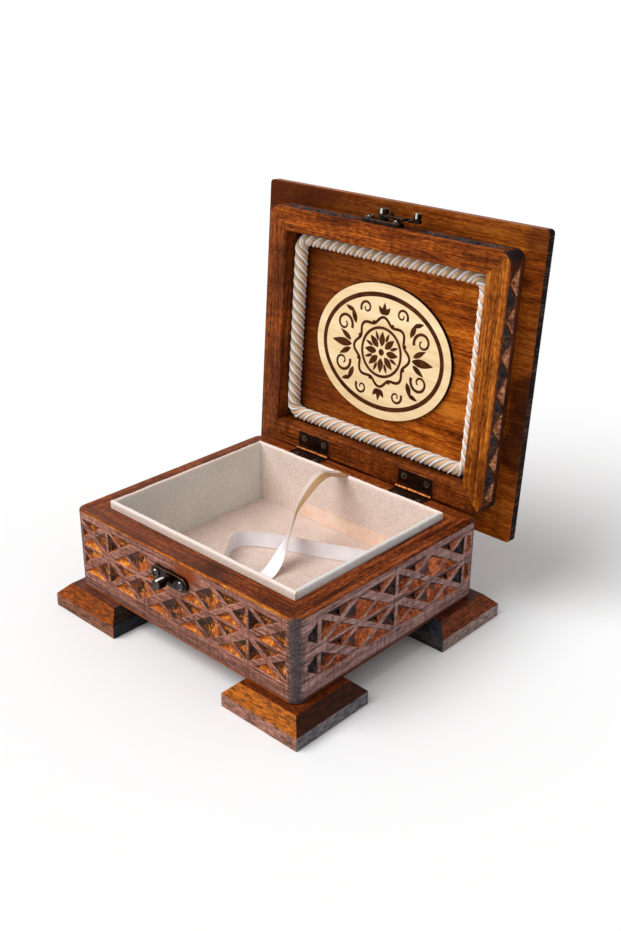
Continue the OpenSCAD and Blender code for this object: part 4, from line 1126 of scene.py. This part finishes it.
def yarn(name, dark, light, shade, rough, spec):
    s = Shader(name, Roughness=rough, Sheen_Weight=0.4, Sheen_Roughness=0.4, Specular_IOR_Level=spec)
    turned, run = s.value("around"), s.value("run")
    lines = s.threads(s.sum((run, 520.0), (turned, 6.0)), s.math("MULTIPLY", turned, 3.0), 2.0)
    fine = s.noise(900, 3)
    base = s.mix(s.level(lines, 0.2, 0.8), dark, light)
    # Painted shade: one side of each strand and cord, turning with it, goes to the shade colour
    base = s.mix(s.level(turned, 0.1, 0.4, 0.0, 0.8), base, shade)
    base = s.mix(s.level(fine, 0.5, 0.75, 0.0, 0.4), base, shade)
    return s.finish(base, s.sum(lines, fine), 0.5, 0.4)


def make_rope():
    line, total = rope_route()
    turns = round(total / ROPE_LAY)
    count = len(line)
    up, z = Vector((0, 0, 1)), BOARD_Z - ROPE_D / 2 - ROPE_FIT
    work = Build()
    around_values, run_values = [], []
    for kind, (offset, radius, sides) in enumerate((STRAND, CORD)):
        for ply in range(ROPE_PLY):
            rows = []
            for i, (p, out) in enumerate(line):
                t = (ply + 0.5 * kind) * math.tau / ROPE_PLY + math.tau * turns * i / count
                out = Vector((*out, 0))
                centre = Vector((*p, z)) + (out * math.cos(t) + up * math.sin(t)) * offset
                angles = [t + math.tau * k / sides for k in range(sides)]
                rows.append([centre + (out * math.cos(a) + up * math.sin(a)) * radius for a in angles])
                around_values += [k / sides for k in range(sides)]
                run_values += [total * i / count * MM] * sides
            work.grid(rows, kind, closed=True, looped=True)
    looks = [yarn("rope_peach", (230, 180, 142), (255, 218, 186), (164, 143, 102), 0.7, 0.25),
             yarn("rope_white", (250, 249, 250), (255, 255, 255), (244, 243, 242), 0.35, 1.0)]
    work.make("twisted_rope", looks, "lid", ["rope_trim"], "rope", LID_POSE, smooth=70,
              around=around_values, run=run_values)


make_rope()


# Dark bronze hardware with worn edges, lightened as painted highlight, and painted glints
def bronze(name, dark, light, rough):
    s = Shader(name, Metallic=0.85)
    tone = s.noise(240, 4, 0.6)
    spots = s.noise(1200, 2)
    base = s.ramp(s.level(tone, 0.35, 0.65), dark, light)
    return s.finish(base, spots, 0.1, 0.2, s.level(spots, 0.3, 0.7, rough, rough + 0.15))


BRONZE = bronze("bronze_dark", (14, 8, 5), (40, 23, 15), 0.12)
HINGE_BRONZE = bronze("bronze_hinge", (22, 11, 6), (66, 34, 18), 0.25)
# Rubbed bronze, light enough to paint the highlight on edges
RUBBED_AND_HIGHLIT = bronze("bronze_rubbed_and_highlit", (30, 19, 14), (100, 68, 50), 0.16)
GLINT = bronze("bronze_glint", (180, 172, 168), (255, 255, 255), 0.1)
# Worn copper, also painting the knuckles' highlight
COPPER = bronze("bronze_worn_and_highlit", (62, 28, 11), (190, 112, 44), 0.28)
RED_RIM = bronze("bronze_rim", (66, 28, 12), (150, 80, 36), 0.22)
STEEL = bronze("screw_grey", (34, 31, 30), (86, 80, 78), 0.16)
PALE_STEEL = bronze("screw_pale", (56, 54, 46), (156, 152, 136), 0.16)
HEAD_LOOKS = [BRONZE, STEEL, RUBBED_AND_HIGHLIT, GLINT]

# Sides with a painted highlight: of the turned heads, the screws' domes, and the upper and lower knuckles
HEAD_SIDES, HEAD_GLINTS, SCREW_GLINTS = 28, (5, 6, 21, 22), (5, 19)
UPPER_BRIGHT, LOWER_BRIGHT = (14, 15), (8, 9)

# Shanks, grooves and rounded edges of the turned pieces
SHANK_R, SHANK_L, STUD_SHANK_R, LEAF_SHANK_L = 1.2, 9.0, 1.8, 7.0
STUD_NECK, STUD_HEAD, PIVOT_NECK, PIVOT_HEAD = 1.6, 5.0, 1.8, 2.0
SCREW_DOME = (1, 0), (1, 0.35), (0.93, 0.65), (0.8, 0.88), (0.66, 1), (0.6, 0.98), (0.56, 0.7)
KNUCKLE_EDGE, KNUCKLE_GAP, PIN_EDGE = 0.25, 0.3, 0.2


def on_front(z, x0=0.0):
    """Places a drawing on the front: x along it, y up, and the third value out of the face."""
    return lambda x, y, h: (LATCH_X + x0 + x, FRONT_Y - h, z + y)


def cross_mark(work, place, r, h):
    """The four raised lips between the slots of a cross head."""
    slot, far, mid = r * 0.16, r * 0.62, r * 0.45
    for sx, sy in ((1, 1), (-1, 1), (-1, -1), (1, -1)):
        corner = (slot, slot), (far, slot), (mid, mid), (slot, far)
        slab([(sx * x, sy * y) for x, y in corner], h - 0.05, h + 0.28, place=place, work=work)


def plate_set(z, prefix, body, pose):
    """An oblong plate with round ends and two dome-headed screws."""
    r, reach = PLATE_H / 2, (PLATE_L - PLATE_H) / 2
    outline = arc(reach, 0, r, -90, 90, 12) + arc(-reach, 0, r, 90, 270, 12)
    # The plate's bevel is rubbed bronze with painted highlight
    slab(outline, 0.02, PLATE_T, place=on_front(z)).make(
        prefix + "_plate_bevelled", [BRONZE, RUBBED_AND_HIGHLIT], body, [prefix + "_plate"], "latch_metal", pose,
        bevel=(0.6, 1))
    dome = [(PLATE_HEAD_R * r, PLATE_T + DOME_H * h) for r, h in SCREW_DOME]
    profile = [(SHANK_R, -SHANK_L), (SHANK_R, PLATE_T)] + dome
    work = Build()
    for x in (-PLATE_SCREWS / 2, PLATE_SCREWS / 2):
        spot = on_front(z, x)
        lathe(work, profile, spot, kind=lambda k, i: int(k in SCREW_GLINTS and i > 3))
        cross_mark(work, spot, 0.8 * PLATE_HEAD_R, PLATE_T + 0.7 * DOME_H)
    work.make(prefix + "_screws_round", [STEEL, GLINT], body, [prefix + "_screws"], "latch_metal", pose,
              smooth=35)


def turned_head(work, profile, place, glints_from, rim):
    """A round head with painted highlight lines above one step of its profile, and at another a rubbed rim
    with painted highlight.
    """
    lathe(work, profile, place, HEAD_SIDES,
          lambda k, i: 3 if k in HEAD_GLINTS and i > glints_from else 2 if i == rim else 0, 1)


def post(name, node, z, neck, head, body, pose):
    """A stud with a neck for the hook and a grooved head."""
    low, high, r, top = HOOK_FROM - HOOK_SLACK, HOOK_TO + HOOK_SLACK, HEAD_R, HOOK_TO + head + HEAD_R / 2
    foot = [(STUD_SHANK_R, -SHANK_L), (STUD_SHANK_R, PLATE_T), (r, PLATE_T), (r, low - 0.2), (r - 0.2, low)]
    waist = [(neck, low), (neck, high), (r - 0.25, high), (r, high + 0.25)]
    groove = [(r, top - 0.9), (r - 0.2, top - 0.8), (r - 0.2, top - 0.6), (r, top - 0.5)]
    work = Build()
    turned_head(work, foot + waist + groove + [(r, top - 0.35), (r - 0.35, top)], on_front(z), 6, 13)
    work.make(name, HEAD_LOOKS, body, [node], "latch_metal", pose, smooth=40)


plate_set(STUD_Z, "catch", "box", REST)
plate_set(PIVOT_Z, "latch", "lid", LID_POSE)
post("catch_stud_turned", "catch_stud", STUD_Z, STUD_NECK, STUD_HEAD, "box", REST)
post("latch_pivot_turned", "latch_pivot", PIVOT_Z, PIVOT_NECK, PIVOT_HEAD, "lid", LID_POSE)


def make_hook():
    """Swinging hook: eye, bar and notched head, with a knob and a small pin."""
    at_eye, at_head, at_notch = (math.degrees(math.asin(share)) for share in (
        HOOK_HALF / HOOK_EYE_R, HOOK_HALF / HOOK_HEAD_R, NOTCH_R / HOOK_HEAD_R))
    outline = arc(0, 0, HOOK_EYE_R, at_eye, 360 - at_eye, 20)
    outline += arc(HOOK_L, 0, HOOK_HEAD_R, 180 + at_head, 270 - at_notch, 5)
    outline += arc(HOOK_L, 0, NOTCH_R, 180, 0, 10)
    outline += arc(HOOK_L, 0, HOOK_HEAD_R, -90 + at_notch, 180 - at_head, 18)
    # The hook's bevel is rubbed bronze with painted highlight
    slab(outline, HOOK_FROM, HOOK_TO, place=on_front(PIVOT_Z)).make(
        "latch_hook_bar", [BRONZE, RUBBED_AND_HIGHLIT], "latch", ["latch_hook"], "latch_metal", LID_POSE, bevel=(0.4, 1))
    r, low, top = KNOB_R, HOOK_TO, HOOK_TO + KNOB_L
    foot = [(r + 0.4, HOOK_FROM), (r + 0.4, low), (r * 0.8, low), (r * 0.8, low + 1.1)]
    knob = [(r - 0.2, low + 1.2), (r, low + 1.5), (r, top - 0.4), (r - 0.4, top)]
    pin = [(1.4, low - 0.5), (1.4, low + 2.2), (1.1, low + 2.5)]
    work = Build()
    turned_head(work, foot + knob, on_front(PIVOT_Z, KNOB_AT), 3, 6)
    lathe(work, pin, on_front(PIVOT_Z, HOOK_L / 3), 16)
    work.make("latch_knob_turned", HEAD_LOOKS, "latch", (), "latch_metal", LID_POSE, smooth=40)


make_hook()


def leaf_outline(up):
    """Leaf on plan, with tongues that run to its own knuckles."""
    half, near, reach = HINGE_L / 2, -KNUCKLE_R - KNUCKLE_GAP, -1.0
    a = HINGE_L / 6 - (KNUCKLE_GAP if up > 0 else 0.0)
    inner, outer = (reach, near) if up > 0 else (near, reach)
    tongues = [(half, outer), (a, outer), (a, inner), (-a, inner), (-a, outer), (-half, outer)]
    return [(-half, -LEAF_W), (half, -LEAF_W)] + tongues


def make_hinge(side, x0):
    """A butt hinge: two leaves with knuckles, and a pin."""
    third, half, r = HINGE_L / 3, HINGE_L / 2, KNUCKLE_R
    outer_spans = (-half, -third / 2), (third / 2, half)
    inner_span = (KNUCKLE_GAP - third / 2, third / 2 - KNUCKLE_GAP)

    def on_leaf(x, y, z):
        return x0 + x, HINGE_Y + y, HINGE_Z + z

    def on_pin(a, b, along):
        return x0 + along, HINGE_Y + a, HINGE_Z + b

    for up, where, body, pose, spans, bright in ((-1, "lower", "box", REST, outer_spans, LOWER_BRIGHT),
                                                 (1, "upper", "lid", LID_POSE, (inner_span,), UPPER_BRIGHT)):
        low, high = sorted((up * LEAF_INNER, up * (LEAF_INNER + LEAF_T)))
        slab(leaf_outline(up), low, high, place=on_leaf).make(
            f"{where}_leaf_plate_{side}", [HINGE_BRONZE, RED_RIM], body, [f"{where}_leaf_{side}"],
            "hinge_metal", pose, bevel=(0.45, 1))
        work = Build()
        for a, b in spans:
            edge = KNUCKLE_EDGE
            profile = (r - edge, a), (r, a + edge), (r, b - edge), (r - edge, b)
            # Painted highlight: copper on a few sides of each knuckle
            lathe(work, profile, on_pin, kind=lambda k, i: int(k in bright))
        work.make(f"{where}_knuckles_{side}", [HINGE_BRONZE, COPPER], body, (), "hinge_metal", pose,
                  smooth=40)
    work = Build()
    profile = (0.7, -half - PIN_EDGE), (PIN_R, -half), (PIN_R, half), (0.7, half + PIN_EDGE)
    lathe(work, profile, on_pin, 16)
    work.make(f"hinge_pin_turned_{side}", [COPPER], "box", [f"hinge_pin_{side}"], "hinge_metal", smooth=40)


def leaf_screws(up, node, body, pose):
    """The sunk cross-headed screws of both hinges' upper or lower leaves."""
    r = LEAF_HEAD_R
    shank = [(SHANK_R, -LEAF_SHANK_L), (SHANK_R, -LEAF_T)]
    head = [(r, -0.1), (r - 0.05, 0.03), (1.7, 0.03), (1.55, -0.25)]
    work = Build()
    for x in (side * HINGE_X + end * LEAF_SCREWS / 2 for side in (-1, 1) for end in (-1, 1)):
        def spot(a, b, h):
            return x + a, HINGE_Y - LEAF_SCREW_IN + b, HINGE_Z + up * (LEAF_INNER - h)
        lathe(work, shank + head, spot)
        cross_mark(work, spot, r - 0.1, -0.25)
    work.make(node + "_cross", [PALE_STEEL], body, [node], "hinge_metal", pose, smooth=35)


make_hinge("left", -HINGE_X)
make_hinge("right", HINGE_X)
leaf_screws(-1, "lower_leaf_screws", "box", REST)
leaf_screws(1, "upper_leaf_screws", "lid", LID_POSE)

# Pale floor and soft studio light: metres, degrees and strengths
FLOOR_REACH, FLOOR_PALE = 40.0, (250, 250, 250)
SKY_ON_PIECES, SKY_SEEN = 0.5, 1.0
SUN_AZIMUTH, SUN_ELEVATION, SUN_SPREAD, SUN_STRENGTH = -25, 50, 45, 2.3


def make_stage():
    mesh = bpy.data.meshes.new("floor")
    mesh.from_pydata([(x * FLOOR_REACH, y * FLOOR_REACH, 0) for x, y in ((-1, -1), (1, -1), (1, 1), (-1, 1))],
                     [], [(0, 1, 2, 3)])
    floor = add("floor", mesh)
    pale = Shader("floor_pale", Roughness=0.9, Specular_IOR_Level=0.1, Base_Color=colour(FLOOR_PALE))
    mesh.materials.append(pale.material)
    scene.world = bpy.data.worlds.new("studio")
    sky = Nodes(scene.world)
    kinds = "Camera", "Glossy", "Transmission"
    rays = [sky.node("ShaderNodeLightPath", f"Is {kind} Ray", {}) for kind in kinds]
    seen = sky.math("MAXIMUM", sky.math("MAXIMUM", rays[0], rays[1]), rays[2])
    back = sky.tree.nodes["Background"].inputs
    sky.put(sky.level(seen, 0.0, 1.0, SKY_ON_PIECES, SKY_SEEN), back["Strength"])
    back["Color"].default_value = (1, 1, 1, 1)
    data = bpy.data.lights.new("key", "SUN")
    data.energy = SUN_STRENGTH
    data.angle = math.radians(SUN_SPREAD)
    a, e = math.radians(SUN_AZIMUTH), math.radians(SUN_ELEVATION)
    to_lamp = Vector((math.sin(a) * math.cos(e), -math.cos(a) * math.cos(e), math.sin(e)))
    add("key", data).rotation_euler = to_lamp.to_track_quat("Z", "Y").to_euler()


make_stage()
